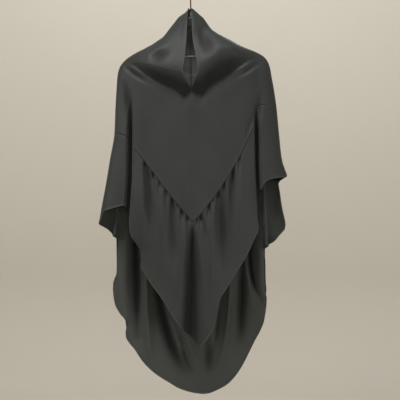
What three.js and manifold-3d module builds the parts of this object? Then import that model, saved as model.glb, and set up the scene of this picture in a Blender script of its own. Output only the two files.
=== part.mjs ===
// A khimar veil, a hooded two level cape in plain cloth, hanging from a clothes hanger.
// Millimetres, +Z up. The face opening looks along -Y and +X is at the right of that view.
// The origin is the inside top of the hanger's hook, where the hook rests on what carries it.
import * as THREE from "three";
import { mergeVertices } from "three/addons/utils/BufferGeometryUtils.js";
import Module from "manifold-3d";

// Sizes of the veil
const VEIL_LENGTH = 1136; // from the crown of the hood to the lowest point of the back hem
const HALF_SPREAD = 271; // from the hook's line to a sleeve hem
const CROWN_DROP = 77; // from the hang point to the crown
const CHEST_DEPTH = 48; // from the hanger's plane to the middle of the chest
const BACK_DEPTH = 54; // from the hanger's plane to the middle of the back
const COWL_ROLL = 35; // how far the fallen edge of the hood stands out over the chest
const FOLD_DEPTH = 20; // height of a full pleat of the flounces
const CLOTH = 1.6; // thickness of the cloth
const GAP = 0.4; // clearance between pieces that meet
const SEAM_GAP = 0.6; // clearance along the yoke seam, square to it

// Sizes of the hanger
const HANGER_TILT = 1.75; // degrees, the right end up, as it hangs
const HANGER_HALF_LENGTH = 215;
const HANGER_THICKNESS = 11;
const HANGER_ROUNDING = 4.4; // radius along the edges of the hanger's arms
const ARM_WIDTH = 17; // width of an arm, square to its slope
const NECK_HALF_WIDTH = 11;
const NECK_LENGTH = 30; // from the top of the neck to the crotch under the arms
const NECK_FLARE = 0.55; // how far the arms run straight before they curve up into the neck
const SHOULDER_SHARE = 0.33; // share of the arm's reach from which it carries the cloth
const BAR_DIAMETER = 9;
const BAR_DROP = 138; // from the crown to the middle of the cross bar
const BAR_HALF_LENGTH = 170;
const FERRULE_DROP = 10; // from the crown to the top of the ferrule
const FERRULE_DIAMETER = 9.6;
const FERRULE_LENGTH = 13;
const FERRULE_CHAMFER = 1;
const SHANK_SEAT = 8; // how far the hook's shank enters the ferrule
const WIRE_DIAMETER = 3.8;
const HOOK_RADIUS = 19; // inside radius of the hook's bend
const HOOK_TIP_ANGLE = 40; // degrees that the bend goes on past the level of its centre
const SHANK_BEND = 1.5; // shares of the bend's radius below its centre at which the shank leaves its line
const SHANK_EASE = [0.7, 0.8]; // how far the shank runs straight at each end of that curve

// Where the parts of the outline lie round the veil: 0 is the centre front, 1 the side, 2 the centre back.
// Each side has a deep vertical tuck between the front panel and the sleeve, and one behind it.
const LIP = 0.8; // edge of the front panel, and as far from the centre back, of the back panel
const SLEEVE = 0.84; // edge of the sleeve across the tuck
const TUCK_MIDDLE = 0.82;
const ON_CENTRE = 1e-6; // next to nothing: keeps a column on the centre line on its own side

// Mesh steps
const FRONT_STEPS = 16;
const TUCK_STEPS = 4;
const SLEEVE_STEPS = 5;
const BACK_STEPS = 8;
const YOKE_ROWS = [
  0, 0.02, 0.045, 0.08, 0.12, 0.165, 0.21, 0.255, 0.3, 0.335, 0.365, 0.395, 0.425, 0.465, 0.54, 0.68, 0.84, 1,
];
const FLOUNCE_ROWS = [0, 0.06, 0.15, 0.26, 0.38, 0.51, 0.64, 0.77, 0.89, 1];
const FOLD_PIECES = 12; // straight pieces along the path of a fold
const RING_SIDES = 12;
const WIRE_SEGMENTS = 4;
const HOOK_STEPS = 30;
const BEND_STEPS = 20; // pieces of the hook's centre line in its bend
const FLARE_STEPS = 5; // pieces of the hanger's outline between arm and neck
const ARM_STEPS = 10;
const BEVEL_STEPS = 2;

// Turns rows of numbers into objects with the named columns.
function table(names, rows) {
  const keys = names.split(" ");
  return rows.map((row) => Object.fromEntries(keys.map((key, i) => [key, row[i]])));
}

// Outline of the veil seen from the front: shares of VEIL_LENGTH down, shares of HALF_SPREAD to each side.
const OUTLINE = table("down left right", [
  [0.0, 0.02, 0.035],
  [0.008, 0.043, 0.071],
  [0.016, 0.091, 0.109],
  [0.023, 0.128, 0.143],
  [0.034, 0.163, 0.176],
  [0.052, 0.223, 0.232],
  [0.062, 0.255, 0.283],
  [0.073, 0.293, 0.359],
  [0.083, 0.348, 0.44],
  [0.094, 0.413, 0.527],
  [0.104, 0.489, 0.63],
  [0.114, 0.576, 0.734],
  [0.125, 0.658, 0.807],
  [0.138, 0.723, 0.848],
  [0.153, 0.766, 0.87],
  [0.174, 0.788, 0.886],
  [0.21, 0.799, 0.913],
  [0.255, 0.81, 0.94],
  [0.322, 0.821, 0.967],
  [0.392, 0.87, 1.0],
  [0.418, 0.888, 1.034],
  [0.434, 0.899, 1.055],
  [0.447, 0.908, 0.962],
  [0.474, 0.928, 0.98],
  [0.511, 0.958, 1.003],
  [0.544, 0.981, 1.034],
  [0.559, 0.993, 1.046],
  [0.574, 0.99, 1.036],
  [0.583, 0.985, 1.0],
  [0.6, 0.975, 0.945],
  [0.62, 0.97, 0.91],
  [1.02, 0.97, 0.91],
]);

// Edges of the front and back panels, in the same shares.
const PANEL_EDGES = table("down frontLeft frontRight backLeft backRight", [
  [0.0, 0.012, 0.028, 0.012, 0.028],
  [0.055, 0.174, 0.196, 0.174, 0.196],
  [0.094, 0.326, 0.424, 0.326, 0.424],
  [0.125, 0.511, 0.641, 0.511, 0.641],
  [0.174, 0.62, 0.696, 0.62, 0.707],
  [0.262, 0.647, 0.717, 0.67, 0.745],
  [0.322, 0.643, 0.721, 0.707, 0.772],
  [0.553, 0.641, 0.75, 0.785, 0.804],
  [0.57, 0.636, 0.75, 0.796, 0.812],
  [0.59, 0.62, 0.75, 0.806, 0.817],
  [0.609, 0.566, 0.75, 0.806, 0.82],
  [0.623, 0.524, 0.75, 0.806, 0.822],
  [0.634, 0.515, 0.75, 0.806, 0.823],
  [0.647, 0.517, 0.75, 0.806, 0.824],
  [0.664, 0.53, 0.75, 0.806, 0.825],
  [0.69, 0.54, 0.75, 0.808, 0.826],
  [0.714, 0.54, 0.75, 0.847, 0.831],
  [0.73, 0.54, 0.75, 0.85, 0.836],
  [0.75, 0.54, 0.75, 0.84, 0.84],
  [0.769, 0.54, 0.75, 0.825, 0.84],
  [0.784, 0.54, 0.75, 0.8, 0.838],
  [0.796, 0.54, 0.75, 0.77, 0.836],
  [0.814, 0.54, 0.75, 0.705, 0.834],
  [0.833, 0.54, 0.75, 0.708, 0.832],
  [0.852, 0.54, 0.75, 0.719, 0.83],
  [1.02, 0.54, 0.75, 0.722, 0.82],
]);

// Depth at the middle, as shares of CHEST_DEPTH and BACK_DEPTH, and how square the section is.
const SECTIONS = table("down front frontSquare back backSquare", [
  [0.0, 0.16, 2.0, 0.14, 2.0],
  [0.016, 0.34, 1.9, 0.37, 1.9],
  [0.034, 0.5, 1.75, 0.63, 1.8],
  [0.055, 0.67, 1.65, 0.85, 1.75],
  [0.081, 0.83, 1.6, 1.03, 1.7],
  [0.112, 0.96, 1.65, 1.1, 1.7],
  [0.138, 1.0, 1.8, 1.1, 1.8],
  [0.174, 1.0, 2.2, 1.03, 2.0],
  [0.221, 0.96, 2.4, 0.96, 2.2],
  [0.322, 1.04, 2.7, 0.93, 2.4],
  [0.553, 1.17, 3.0, 1.0, 2.6],
  [0.878, 1.25, 3.0, 1.15, 3.0],
  [1.02, 1.25, 3.0, 1.22, 3.0],
]);

// The centre lines, which lean a little to the right, and the half widths of the face opening.
const CENTRES = table("down front back", [
  [0.0, 0.005, 0.005],
  [0.01, 0.0, 0.0],
  [0.218, 0.011, 0.011],
  [0.535, 0.033, 0.022],
  [0.878, 0.109, 0.098],
  [1.02, 0.141, 0.141],
]);
const FACE_OPENING = table("down left right", [
  [0.0, 0.02, 0.013],
  [0.01, 0.026, 0.017],
  [0.073, 0.039, 0.028],
  [0.122, 0.057, 0.057],
  [0.148, 0.072, 0.074],
  [0.164, 0.085, 0.078],
  [0.182, 0.063, 0.059],
  [0.2, 0.032, 0.033],
  [0.218, 0.0, 0.0],
]);
const FACE_OPENING_END = 0.218;
const FACE_OPENING_REACH = 0.45; // how far round the cloth is pushed aside by the opening
const FACE_OPENING_EASE = 1.3; // how quickly that fades on the way round

// The seam between yoke and flounces, and the hem, as shares of VEIL_LENGTH down.
const SEAM = table("around left right", [
  [0.0, 0.553, 0.553],
  [0.1, 0.53, 0.531],
  [0.2, 0.506, 0.506],
  [0.4, 0.455, 0.447],
  [0.6, 0.401, 0.379],
  [0.75, 0.365, 0.314],
  [0.8, 0.353, 0.286],
  [0.84, 0.335, 0.255],
  [0.88, 0.329, 0.251],
  [0.95, 0.325, 0.252],
  [1.0, 0.322, 0.255],
  [1.06, 0.325, 0.26],
  [1.2, 0.343, 0.288],
  [1.4, 0.392, 0.361],
  [1.7, 0.47, 0.46],
  [2.0, 0.527, 0.527],
]);
const HEM_LEFT = table("around down", [
  [0.0, 0.873],
  [0.119, 0.845],
  [0.214, 0.827],
  [0.307, 0.804],
  [0.394, 0.777],
  [0.482, 0.749],
  [0.577, 0.725],
  [0.666, 0.702],
  [0.745, 0.678],
  [0.79, 0.667],
  [0.8, 0.658],
  [0.81, 0.585],
  [0.82, 0.535],
  [0.84, 0.509],
  [0.88, 0.512],
  [0.94, 0.519],
  [0.98, 0.525],
  [0.99, 0.538],
  [1.0, 0.558],
  [1.04, 0.565],
  [1.088, 0.572],
  [1.17, 0.59],
  [1.196, 0.596],
  [1.205, 0.85],
  [1.238, 0.869],
  [1.3, 0.888],
  [1.391, 0.922],
  [1.509, 0.952],
  [1.64, 0.975],
  [1.784, 0.996],
  [1.93, 1.006],
  [2.0, 1.008],
]);
const HEM_RIGHT = table("around down", [
  [0.0, 0.873],
  [0.132, 0.842],
  [0.183, 0.826],
  [0.228, 0.804],
  [0.257, 0.775],
  [0.291, 0.749],
  [0.367, 0.725],
  [0.452, 0.698],
  [0.536, 0.671],
  [0.623, 0.643],
  [0.68, 0.621],
  [0.738, 0.593],
  [0.785, 0.573],
  [0.797, 0.556],
  [0.805, 0.527],
  [0.825, 0.478],
  [0.84, 0.462],
  [0.87, 0.449],
  [0.93, 0.44],
  [0.99, 0.436],
  [1.0, 0.434],
  [1.004, 0.57],
  [1.012, 0.6],
  [1.135, 0.612],
  [1.18, 0.618],
  [1.198, 0.624],
  [1.205, 0.78],
  [1.212, 0.804],
  [1.247, 0.832],
  [1.33, 0.869],
  [1.399, 0.9],
  [1.491, 0.937],
  [1.583, 0.964],
  [1.677, 0.983],
  [1.789, 0.996],
  [1.941, 1.007],
  [2.0, 1.008],
]);

// The cowl, where the hood's front sags over the chest: place across, its lowest rim, its foot, its height
// as a share of COWL_ROLL.
const COWL = table("across rim foot height", [
  [-0.783, 0.135, 0.136, 0.0],
  [-0.674, 0.14, 0.143, 0.03],
  [-0.543, 0.151, 0.169, 0.37],
  [-0.435, 0.161, 0.186, 0.63],
  [-0.272, 0.17, 0.205, 0.89],
  [-0.13, 0.177, 0.222, 1.0],
  [-0.043, 0.182, 0.232, 0.97],
  [0.076, 0.182, 0.23, 0.94],
  [0.163, 0.177, 0.216, 0.97],
  [0.272, 0.168, 0.2, 0.91],
  [0.413, 0.156, 0.181, 0.71],
  [0.543, 0.14, 0.157, 0.4],
  [0.652, 0.129, 0.132, 0.06],
  [0.783, 0.127, 0.129, 0.0],
]);
const COWL_RISE = 0.109; // length over which the cloth rises to the rim
const COWL_RISE_POWER = 1.2;
const COWL_UNDERCUT = 0.12; // share of its height that the foot lies behind the chest
const COWL_FADE = 0.036; // length under the foot over which the chest comes out again

// Where the side tucks start and are full, and how wide they stand open.
const TUCKS = {
  frontLeft: { start: 0.205, full: 0.34, open: 0.046 },
  frontRight: { start: 0.235, full: 0.34, open: 0.043 },
  backLeft: { start: 0.366, full: 0.574, open: 0.038 },
  backRight: { start: 0.366, full: 0.574, open: 0.038 },
};
const TUCK_FLOOR = { front: 0.04, back: 0.2 }; // depth left at the bottom of a tuck
const TUCK_SHUT = 0.35; // share of its width that a tuck keeps above its start
const TUCK_OPENS_AT = 0.54; // panel half width from which a tuck is fully open
const TUCK_LEAST = 0.05; // share of its width that it keeps at the crown
const SLEEVE_MOST = 0.97; // share of the outline that the tuck may take from the sleeve
const FOLDS_FADE = 0.08; // how far round from the side the folds die out

// Folds and creases. Each runs along a curve through three places (x across, d down), with its half width
// (w) and height (h, outwards, share of FOLD_DEPTH) along it.
const FOLD_COLUMNS = "x1 d1 x2 d2 x3 d3 w1 w2 h1 h2 h3";
const FRONT_FOLDS = table(FOLD_COLUMNS, [
  [-0.402, 0.139, -0.304, 0.13, -0.217, 0.112, 0.027, 0.027, 0, -0.35, 0],
  [-0.5, 0.13, -0.326, 0.109, -0.152, 0.075, 0.049, 0.049, 0, -0.25, 0],
  [-0.457, 0.148, -0.261, 0.125, -0.13, 0.091, 0.043, 0.043, 0, 0.2, 0],
  [-0.728, 0.148, -0.609, 0.177, -0.413, 0.203, 0.028, 0.033, 0, -0.25, 0],
  [0.141, 0.034, 0.207, 0.091, 0.337, 0.143, 0.043, 0.065, 0, -0.6, 0],
  [0.087, 0.023, 0.12, 0.086, 0.196, 0.153, 0.043, 0.054, 0.1, 0.25, 0],
  [0.315, 0.081, 0.5, 0.112, 0.707, 0.127, 0.076, 0.065, 0, 0.45, 0],
  [0.739, 0.13, 0.587, 0.155, 0.391, 0.184, 0.024, 0.028, 0, 0.2, 0],
  [-0.717, 0.179, -0.674, 0.231, -0.641, 0.299, 0.033, 0.026, 0, -0.5, -0.8],
  [0.783, 0.216, 0.75, 0.257, 0.739, 0.301, 0.033, 0.022, 0, -0.25, -0.5],
  [-0.484, 0.397, -0.473, 0.496, -0.473, 0.657, 0.03, 0.035, -0.4, -0.6, -0.4],
  [-0.391, 0.434, -0.402, 0.532, -0.391, 0.678, 0.038, 0.054, -0.3, -0.45, -0.2],
  [-0.293, 0.46, -0.293, 0.574, -0.261, 0.743, 0.043, 0.076, 0.15, 0.35, 0.25],
  [-0.185, 0.491, -0.196, 0.626, -0.174, 0.769, 0.033, 0.065, -0.25, -0.25, -0.2],
  [-0.076, 0.525, -0.087, 0.652, -0.065, 0.821, 0.038, 0.065, 0.2, 0.4, 0.35],
  [0.033, 0.551, 0.022, 0.678, 0.022, 0.873, 0.03, 0.087, -0.25, -1.0, -1.2],
  [0.082, 0.558, 0.12, 0.678, 0.163, 0.855, 0.028, 0.054, 0.2, 0.45, 0.4],
  [0.228, 0.504, 0.228, 0.6, 0.239, 0.756, 0.033, 0.043, 0.2, 0.3, 0.25],
  [0.293, 0.465, 0.293, 0.6, 0.293, 0.756, 0.03, 0.035, -0.4, -0.45, -0.3],
  [0.38, 0.439, 0.37, 0.574, 0.348, 0.735, 0.043, 0.065, -0.25, -0.3, -0.2],
  [0.511, 0.392, 0.5, 0.522, 0.489, 0.683, 0.043, 0.065, 0.2, 0.35, 0.25],
  [0.63, 0.335, 0.63, 0.47, 0.62, 0.626, 0.043, 0.065, 0, 0.25, 0.25],
  [-0.554, 0.387, -0.554, 0.496, -0.565, 0.613, 0.043, 0.054, 0, 0.25, 0.25],
]);
const BACK_FOLDS = table(FOLD_COLUMNS, [
  [-0.728, 0.595, -0.717, 0.704, -0.739, 0.803, 0.054, 0.065, -0.3, -0.5, -0.4],
  [-0.609, 0.561, -0.609, 0.704, -0.587, 0.855, 0.038, 0.049, 0.7, 1.5, 0],
  [-0.489, 0.678, -0.489, 0.808, -0.435, 0.927, 0.054, 0.076, -0.2, -0.5, -0.2],
  [-0.37, 0.717, -0.217, 0.847, 0.043, 0.958, 0.043, 0.054, 0.3, 0.5, 0],
  [-0.293, 0.787, -0.163, 0.852, -0.022, 0.901, 0.024, 0.024, 0, -0.3, 0],
  [-0.065, 0.821, 0.043, 0.891, 0.174, 0.953, 0.054, 0.043, 0, -0.55, 0],
  [-0.152, 0.834, -0.022, 0.917, 0.109, 0.953, 0.026, 0.026, 0, 0.3, 0],
  [0.435, 0.704, 0.391, 0.821, 0.239, 0.958, 0.043, 0.054, -0.25, -0.5, 0],
  [0.598, 0.587, 0.576, 0.756, 0.554, 0.886, 0.038, 0.043, 0.4, 0.55, 0],
  [0.75, 0.579, 0.707, 0.652, 0.826, 0.761, 0.033, 0.033, -0.5, -0.8, -0.2],
  [0.663, 0.6, 0.641, 0.691, 0.739, 0.782, 0.043, 0.043, 0.4, 0.6, 0],
  [-0.52, 0.14, 0.0, 0.215, 0.6, 0.135, 0.06, 0.06, 0, 0.5, 0],
  [-0.6, 0.175, 0.0, 0.275, 0.68, 0.17, 0.07, 0.07, 0, 0.4, 0],
  [-0.42, 0.125, 0.0, 0.165, 0.46, 0.12, 0.05, 0.05, 0, -0.35, 0],
]);

// Joins and cuts
const wasm = await Module();
wasm.setup();

function solidOf(geometry) {
  const plain = geometry.clone();
  plain.deleteAttribute("normal");
  plain.deleteAttribute("uv");
  const merged = mergeVertices(plain, 1e-3);
  const vertProperties = merged.attributes.position.array;
  const triVerts = new Uint32Array(merged.index.array);
  return new wasm.Manifold(new wasm.Mesh({ numProp: 3, vertProperties, triVerts }));
}

function geometryOf(solid) {
  const mesh = solid.getMesh();
  const geometry = new THREE.BufferGeometry();
  geometry.setAttribute("position", new THREE.BufferAttribute(mesh.vertProperties, 3));
  geometry.setIndex(new THREE.BufferAttribute(mesh.triVerts, 1));
  return geometry;
}

// Plain maths
function clamp(value, low = 0, high = 1) {
  return Math.min(Math.max(value, low), high);
}

function smooth(start, end, value) {
  const t = clamp((value - start) / (end - start));
  return t * t * (3 - 2 * t);
}

function mix(a, b, t) {
  return a + (b - a) * t;
}

// A smooth curve through two columns of a table that never overshoots a row.
function curve(rows, from, to) {
  const xs = rows.map((row) => row[from]);
  const ys = rows.map((row) => row[to]);
  const last = xs.length - 1;
  const steps = xs.slice(1).map((x, i) => x - xs[i]);
  const slopes = steps.map((step, i) => (ys[i + 1] - ys[i]) / step);
  const tangents = ys.map((y, i) => {
    if (i === 0) return slopes[0];
    if (i === last) return slopes[last - 1];
    if (slopes[i - 1] * slopes[i] <= 0) return 0;
    const before = 2 * steps[i] + steps[i - 1];
    const after = steps[i] + 2 * steps[i - 1];
    return (before + after) / (before / slopes[i - 1] + after / slopes[i]);
  });
  return (value) => {
    const x = clamp(value, xs[0], xs[last]);
    let i = 0;
    while (i < last - 1 && x > xs[i + 1]) i += 1;
    const t = (x - xs[i]) / steps[i];
    const u = 1 - t;
    const ends = (1 + 2 * t) * u * u * ys[i] + t * t * (3 - 2 * t) * ys[i + 1];
    return ends + t * u * steps[i] * (u * tangents[i] - t * tangents[i + 1]);
  };
}

// The two sides of the veil, seen from the front
const SIDES = {
  left: {
    sign: -1,
    outline: curve(OUTLINE, "down", "left"),
    frontEdge: curve(PANEL_EDGES, "down", "frontLeft"),
    backEdge: curve(PANEL_EDGES, "down", "backLeft"),
    opening: curve(FACE_OPENING, "down", "left"),
    seam: curve(SEAM, "around", "left"),
    hem: curve(HEM_LEFT, "around", "down"),
    frontTuck: TUCKS.frontLeft,
    backTuck: TUCKS.backLeft,
  },
  right: {
    sign: 1,
    outline: curve(OUTLINE, "down", "right"),
    frontEdge: curve(PANEL_EDGES, "down", "frontRight"),
    backEdge: curve(PANEL_EDGES, "down", "backRight"),
    opening: curve(FACE_OPENING, "down", "right"),
    seam: curve(SEAM, "around", "right"),
    hem: curve(HEM_RIGHT, "around", "down"),
    frontTuck: TUCKS.frontRight,
    backTuck: TUCKS.backRight,
  },
};
const FRONT = {
  sign: -1,
  size: CHEST_DEPTH,
  floor: TUCK_FLOOR.front,
  depth: curve(SECTIONS, "down", "front"),
  square: curve(SECTIONS, "down", "frontSquare"),
  centre: curve(CENTRES, "down", "front"),
  folds: FRONT_FOLDS.map(foldPath),
};
const BACK = {
  sign: 1,
  size: BACK_DEPTH,
  floor: TUCK_FLOOR.back,
  depth: curve(SECTIONS, "down", "back"),
  square: curve(SECTIONS, "down", "backSquare"),
  centre: curve(CENTRES, "down", "back"),
  folds: BACK_FOLDS.map(foldPath),
};
const cowlRim = curve(COWL, "across", "rim");
const cowlFoot = curve(COWL, "across", "foot");
const cowlHeight = curve(COWL, "across", "height");

function height(down) {
  return -CROWN_DROP - down * VEIL_LENGTH;
}

// A fold's row with its path worked out as points in millimetres across and up.
function foldPath(row) {
  const start = new THREE.Vector2(row.x1 * HALF_SPREAD, height(row.d1));
  const through = new THREE.Vector2(row.x2 * HALF_SPREAD, height(row.d2));
  const end = new THREE.Vector2(row.x3 * HALF_SPREAD, height(row.d3));
  const pull = through.clone().multiplyScalar(2).sub(start.clone().add(end).multiplyScalar(0.5));
  const points = new THREE.QuadraticBezierCurve(start, pull, end).getPoints(FOLD_PIECES);
  return { ...row, points };
}

// How far one fold lifts the cloth at a place across and up.
function foldLift(fold, x, z) {
  let nearest = Infinity;
  let along = 0;
  for (let i = 0; i < FOLD_PIECES; i += 1) {
    const a = fold.points[i];
    const b = fold.points[i + 1];
    const dx = b.x - a.x;
    const dz = b.y - a.y;
    const t = clamp(((x - a.x) * dx + (z - a.y) * dz) / (dx * dx + dz * dz));
    const distance = Math.hypot(x - a.x - t * dx, z - a.y - t * dz);
    if (distance < nearest) {
      nearest = distance;
      along = (i + t) / FOLD_PIECES;
    }
  }
  const width = mix(fold.w1, fold.w2, along) * HALF_SPREAD;
  const first = mix(fold.h1, fold.h2, smooth(0, 0.5, along));
  const high = along < 0.5 ? first : mix(fold.h2, fold.h3, smooth(0.5, 1, along));
  return high * FOLD_DEPTH * Math.exp(-((nearest / width) ** 2));
}

// How far the cowl stands out of the chest.
function cowlLift(x, down) {
  const across = x / HALF_SPREAD;
  const rim = cowlRim(across);
  const foot = cowlFoot(across);
  const high = cowlHeight(across) * COWL_ROLL;
  if (down < rim) return high * smooth(rim - COWL_RISE, rim, down) ** COWL_RISE_POWER;
  if (down < foot) return high * (1 - (1 + COWL_UNDERCUT) * smooth(rim, foot, down));
  return -high * COWL_UNDERCUT * (1 - smooth(foot, foot + COWL_FADE, down));
}

// Place across, from the centre line to the side, over the front or back panel, the tuck and the sleeve.
function acrossAt(side, face, tuck, open, round, down) {
  const centre = side.sign * face.centre(down);
  const outline = side.outline(down);
  const panel = face === FRONT ? side.frontEdge(down) : side.backEdge(down);
  const width = tuck.open * mix(TUCK_SHUT, 1, open) * clamp(panel / TUCK_OPENS_AT, TUCK_LEAST, 1);
  const sleeve = Math.min(panel + width, outline * SLEEVE_MOST);
  let across = mix(sleeve, outline, (round - SLEEVE) / (1 - SLEEVE));
  if (round <= LIP) {
    across = mix(centre, panel, round / LIP);
  } else if (round <= SLEEVE) {
    across = mix(panel, sleeve, (round - LIP) / (SLEEVE - LIP));
  }
  if (face === FRONT && down < FACE_OPENING_END) {
    across += side.opening(down) * clamp(1 - round / FACE_OPENING_REACH) ** FACE_OPENING_EASE;
  }
  return side.sign * across * HALF_SPREAD;
}

// The middle of the cloth. Around goes from -2 over 0, the centre front, to 2, with the left side negative.
function clothPoint(around, down) {
  const wrapped = around > 2 ? around - 4 : around < -2 ? around + 4 : around;
  const side = wrapped < 0 ? SIDES.left : SIDES.right;
  const turn = Math.abs(wrapped);
  const face = turn <= 1 ? FRONT : BACK;
  const round = turn <= 1 ? turn : 2 - turn;
  const tuck = face === FRONT ? side.frontTuck : side.backTuck;
  const open = smooth(tuck.start, tuck.full, down);
  const x = acrossAt(side, face, tuck, open, round, down);
  const z = height(down);
  const square = face.square(down);
  const belly = Math.max(0, 1 - round ** square) ** (1 / square);
  let depth = face.size * face.depth(down) * belly;
  depth += face === FRONT ? cowlLift(x, down) : 0;
  const fade = smooth(0, FOLDS_FADE, 1 - round);
  depth += fade * face.folds.reduce((sum, fold) => sum + foldLift(fold, x, z), 0);
  const valley = smooth(LIP, TUCK_MIDDLE, round) * (1 - smooth(TUCK_MIDDLE, SLEEVE, round));
  depth = mix(depth, face.size * face.floor, valley * open);
  return new THREE.Vector3(x, face.sign * depth, z);
}

// The direction out of the cloth at a place.
function clothNormal(around, down) {
  const roundStep = 0.01;
  const downStep = 0.004;
  const across = clothPoint(around + roundStep, down).sub(clothPoint(around - roundStep, down));
  const along = clothPoint(around, down + downStep).sub(clothPoint(around, down - downStep));
  return along.cross(across).normalize();
}

// The columns of the mesh, from 0 at the centre front to 2 at the centre back.
function columnPlaces() {
  const steps = (count, from, to) => Array.from({ length: count }, (_, i) => mix(from, to, i / count));
  const sleeve = steps(SLEEVE_STEPS, 0, 1).map((t) => mix(1, SLEEVE, (1 - t) ** 2));
  const frontHalf = [...steps(FRONT_STEPS, 0, LIP), ...steps(TUCK_STEPS, LIP, SLEEVE), ...sleeve];
  const backHalf = [...steps(BACK_STEPS, 0, LIP), ...steps(TUCK_STEPS, LIP, SLEEVE), ...sleeve];
  return [...frontHalf, 1, ...backHalf.reverse().map((place) => 2 - place)];
}
const COLUMNS = columnPlaces();

// The columns between two places.
function columnsBetween(from, to) {
  return [from, ...COLUMNS.filter((place) => place > from + 1e-6 && place < to - 1e-6), to];
}

// A closed shell of cloth through rows and columns of places. A row is given by downAt(around, row), and the
// first and last column stand back across by half the clearance to the next panel.
function clothShell(columns, rows, downAt, firstBack, lastBack) {
  const back = new Map([
    [columns[0], (firstBack * GAP) / 2],
    [columns[columns.length - 1], (lastBack * GAP) / 2],
  ]);
  const outer = [];
  const inner = [];
  for (const row of rows) {
    for (const around of columns) {
      const down = downAt(around, row);
      const point = clothPoint(around, down);
      point.x += back.get(around) ?? 0;
      const out = clothNormal(around, down).multiplyScalar(CLOTH / 2);
      outer.push(point.clone().add(out));
      inner.push(point.clone().sub(out));
    }
  }
  const wide = columns.length;
  const count = outer.length;
  const positions = [...outer, ...inner].flatMap((point) => point.toArray());
  const index = [];
  const quad = (a, b, c, d) => index.push(a, b, c, a, c, d);
  for (let r = 0; r < rows.length - 1; r += 1) {
    for (let c = 0; c < wide - 1; c += 1) {
      const at = r * wide + c;
      quad(at, at + wide, at + wide + 1, at + 1);
      quad(count + at, count + at + 1, count + at + wide + 1, count + at + wide);
    }
  }
  const end = (rows.length - 1) * wide;
  for (let c = 0; c < wide - 1; c += 1) {
    quad(c, c + 1, count + c + 1, count + c);
    quad(end + c, count + end + c, count + end + c + 1, end + c + 1);
  }
  for (let r = 0; r < rows.length - 1; r += 1) {
    const at = r * wide;
    const far = at + wide - 1;
    quad(at + wide, at, count + at, count + at + wide);
    quad(far, far + wide, count + far + wide, count + far);
  }
  const geometry = new THREE.BufferGeometry();
  geometry.setAttribute("position", new THREE.Float32BufferAttribute(positions, 3));
  geometry.setIndex(index);
  geometry.computeVertexNormals();
  return geometry;
}

function sideOf(around) {
  const wrapped = around > 2 ? around - 4 : around;
  return wrapped < 0 ? SIDES.left : SIDES.right;
}

function turnOf(around) {
  return around > 2 ? 4 - around : Math.abs(around);
}

function yokeDown(around, row) {
  return row * sideOf(around).seam(turnOf(around));
}

// The share of VEIL_LENGTH that a flounce starts below the seam, so that the clearance is square to it.
function seamDrop(around) {
  const step = 0.01;
  const before = clothPoint(around - step, yokeDown(around - step, 1));
  const after = clothPoint(around + step, yokeDown(around + step, 1));
  const slope = (after.z - before.z) / Math.hypot(after.x - before.x, after.y - before.y);
  return (SEAM_GAP * Math.hypot(1, slope)) / VEIL_LENGTH;
}

function flounceDown(around, row) {
  const top = yokeDown(around, 1) + seamDrop(around);
  return mix(top, sideOf(around).hem(turnOf(around)), row);
}

// The columns of one side, in growing order round the veil.
function sideColumns(side, from, to) {
  const columns = columnsBetween(from, to);
  return side.sign > 0 ? columns : columns.map((place) => -place).reverse();
}

function yoke(side) {
  const columns = sideColumns(side, ON_CENTRE, 2 - ON_CENTRE);
  return clothShell(columns, YOKE_ROWS, yokeDown, side.sign, side.sign);
}

function frontFlounce() {
  const left = sideColumns(SIDES.left, 0, TUCK_MIDDLE).slice(0, -1);
  const right = sideColumns(SIDES.right, 0, TUCK_MIDDLE);
  return clothShell([...left, ...right], FLOUNCE_ROWS, flounceDown, 1, -1);
}

function backFlounce() {
  const right = sideColumns(SIDES.right, 2 - TUCK_MIDDLE, 2);
  const left = right.slice(0, -1).reverse().map((place) => 4 - place);
  return clothShell([...right, ...left], FLOUNCE_ROWS, flounceDown, -1, 1);
}

function sleeveFlounce(side) {
  const columns = sideColumns(side, TUCK_MIDDLE, 2 - TUCK_MIDDLE);
  return clothShell(columns, FLOUNCE_ROWS, flounceDown, side.sign, side.sign);
}

// The hanger is modelled level in its own frame and turned about the hang point with all that is on it.
const TILT = THREE.MathUtils.degToRad(HANGER_TILT);
const FERRULE_TOP = -CROWN_DROP - FERRULE_DROP;
const NECK_TOP = FERRULE_TOP - FERRULE_LENGTH - GAP;
const BAR_HEIGHT = -CROWN_DROP - BAR_DROP;
const SHOULDER_SEAT = CLOTH / 2 + 3 * GAP; // from the middle of the cloth to the arm's edge

// The crest of the cloth over one shoulder, as the mesh has it, in the hanger's frame.
function crest(side) {
  return YOKE_ROWS.map((row) => {
    const down = row * side.seam(1);
    const point = new THREE.Vector2(side.sign * side.outline(down) * HALF_SPREAD, height(down));
    point.rotateAround(new THREE.Vector2(0, 0), -TILT);
    return new THREE.Vector2(side.sign * point.x, point.y);
  });
}

function heightOver(line, x) {
  const next = Math.max(1, line.findIndex((point) => point.x >= x));
  const from = line[next - 1];
  const to = line[next];
  return mix(from.y, to.y, (x - from.x) / (to.x - from.x));
}

// The arm's upper edge from its shoulder to its tip, just under the lower of the two crests.
function armEdge() {
  const crests = [crest(SIDES.left), crest(SIDES.right)];
  const places = Array.from({ length: ARM_STEPS + 1 }, (_, i) =>
    mix(SHOULDER_SHARE, 1, i / ARM_STEPS) * HANGER_HALF_LENGTH,
  );
  const lower = (x) => Math.min(...crests.map((line) => heightOver(line, x)));
  const under = places.map((x) => new THREE.Vector2(x, lower(x)));
  return offsetLine(under, SHOULDER_SEAT);
}

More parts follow.
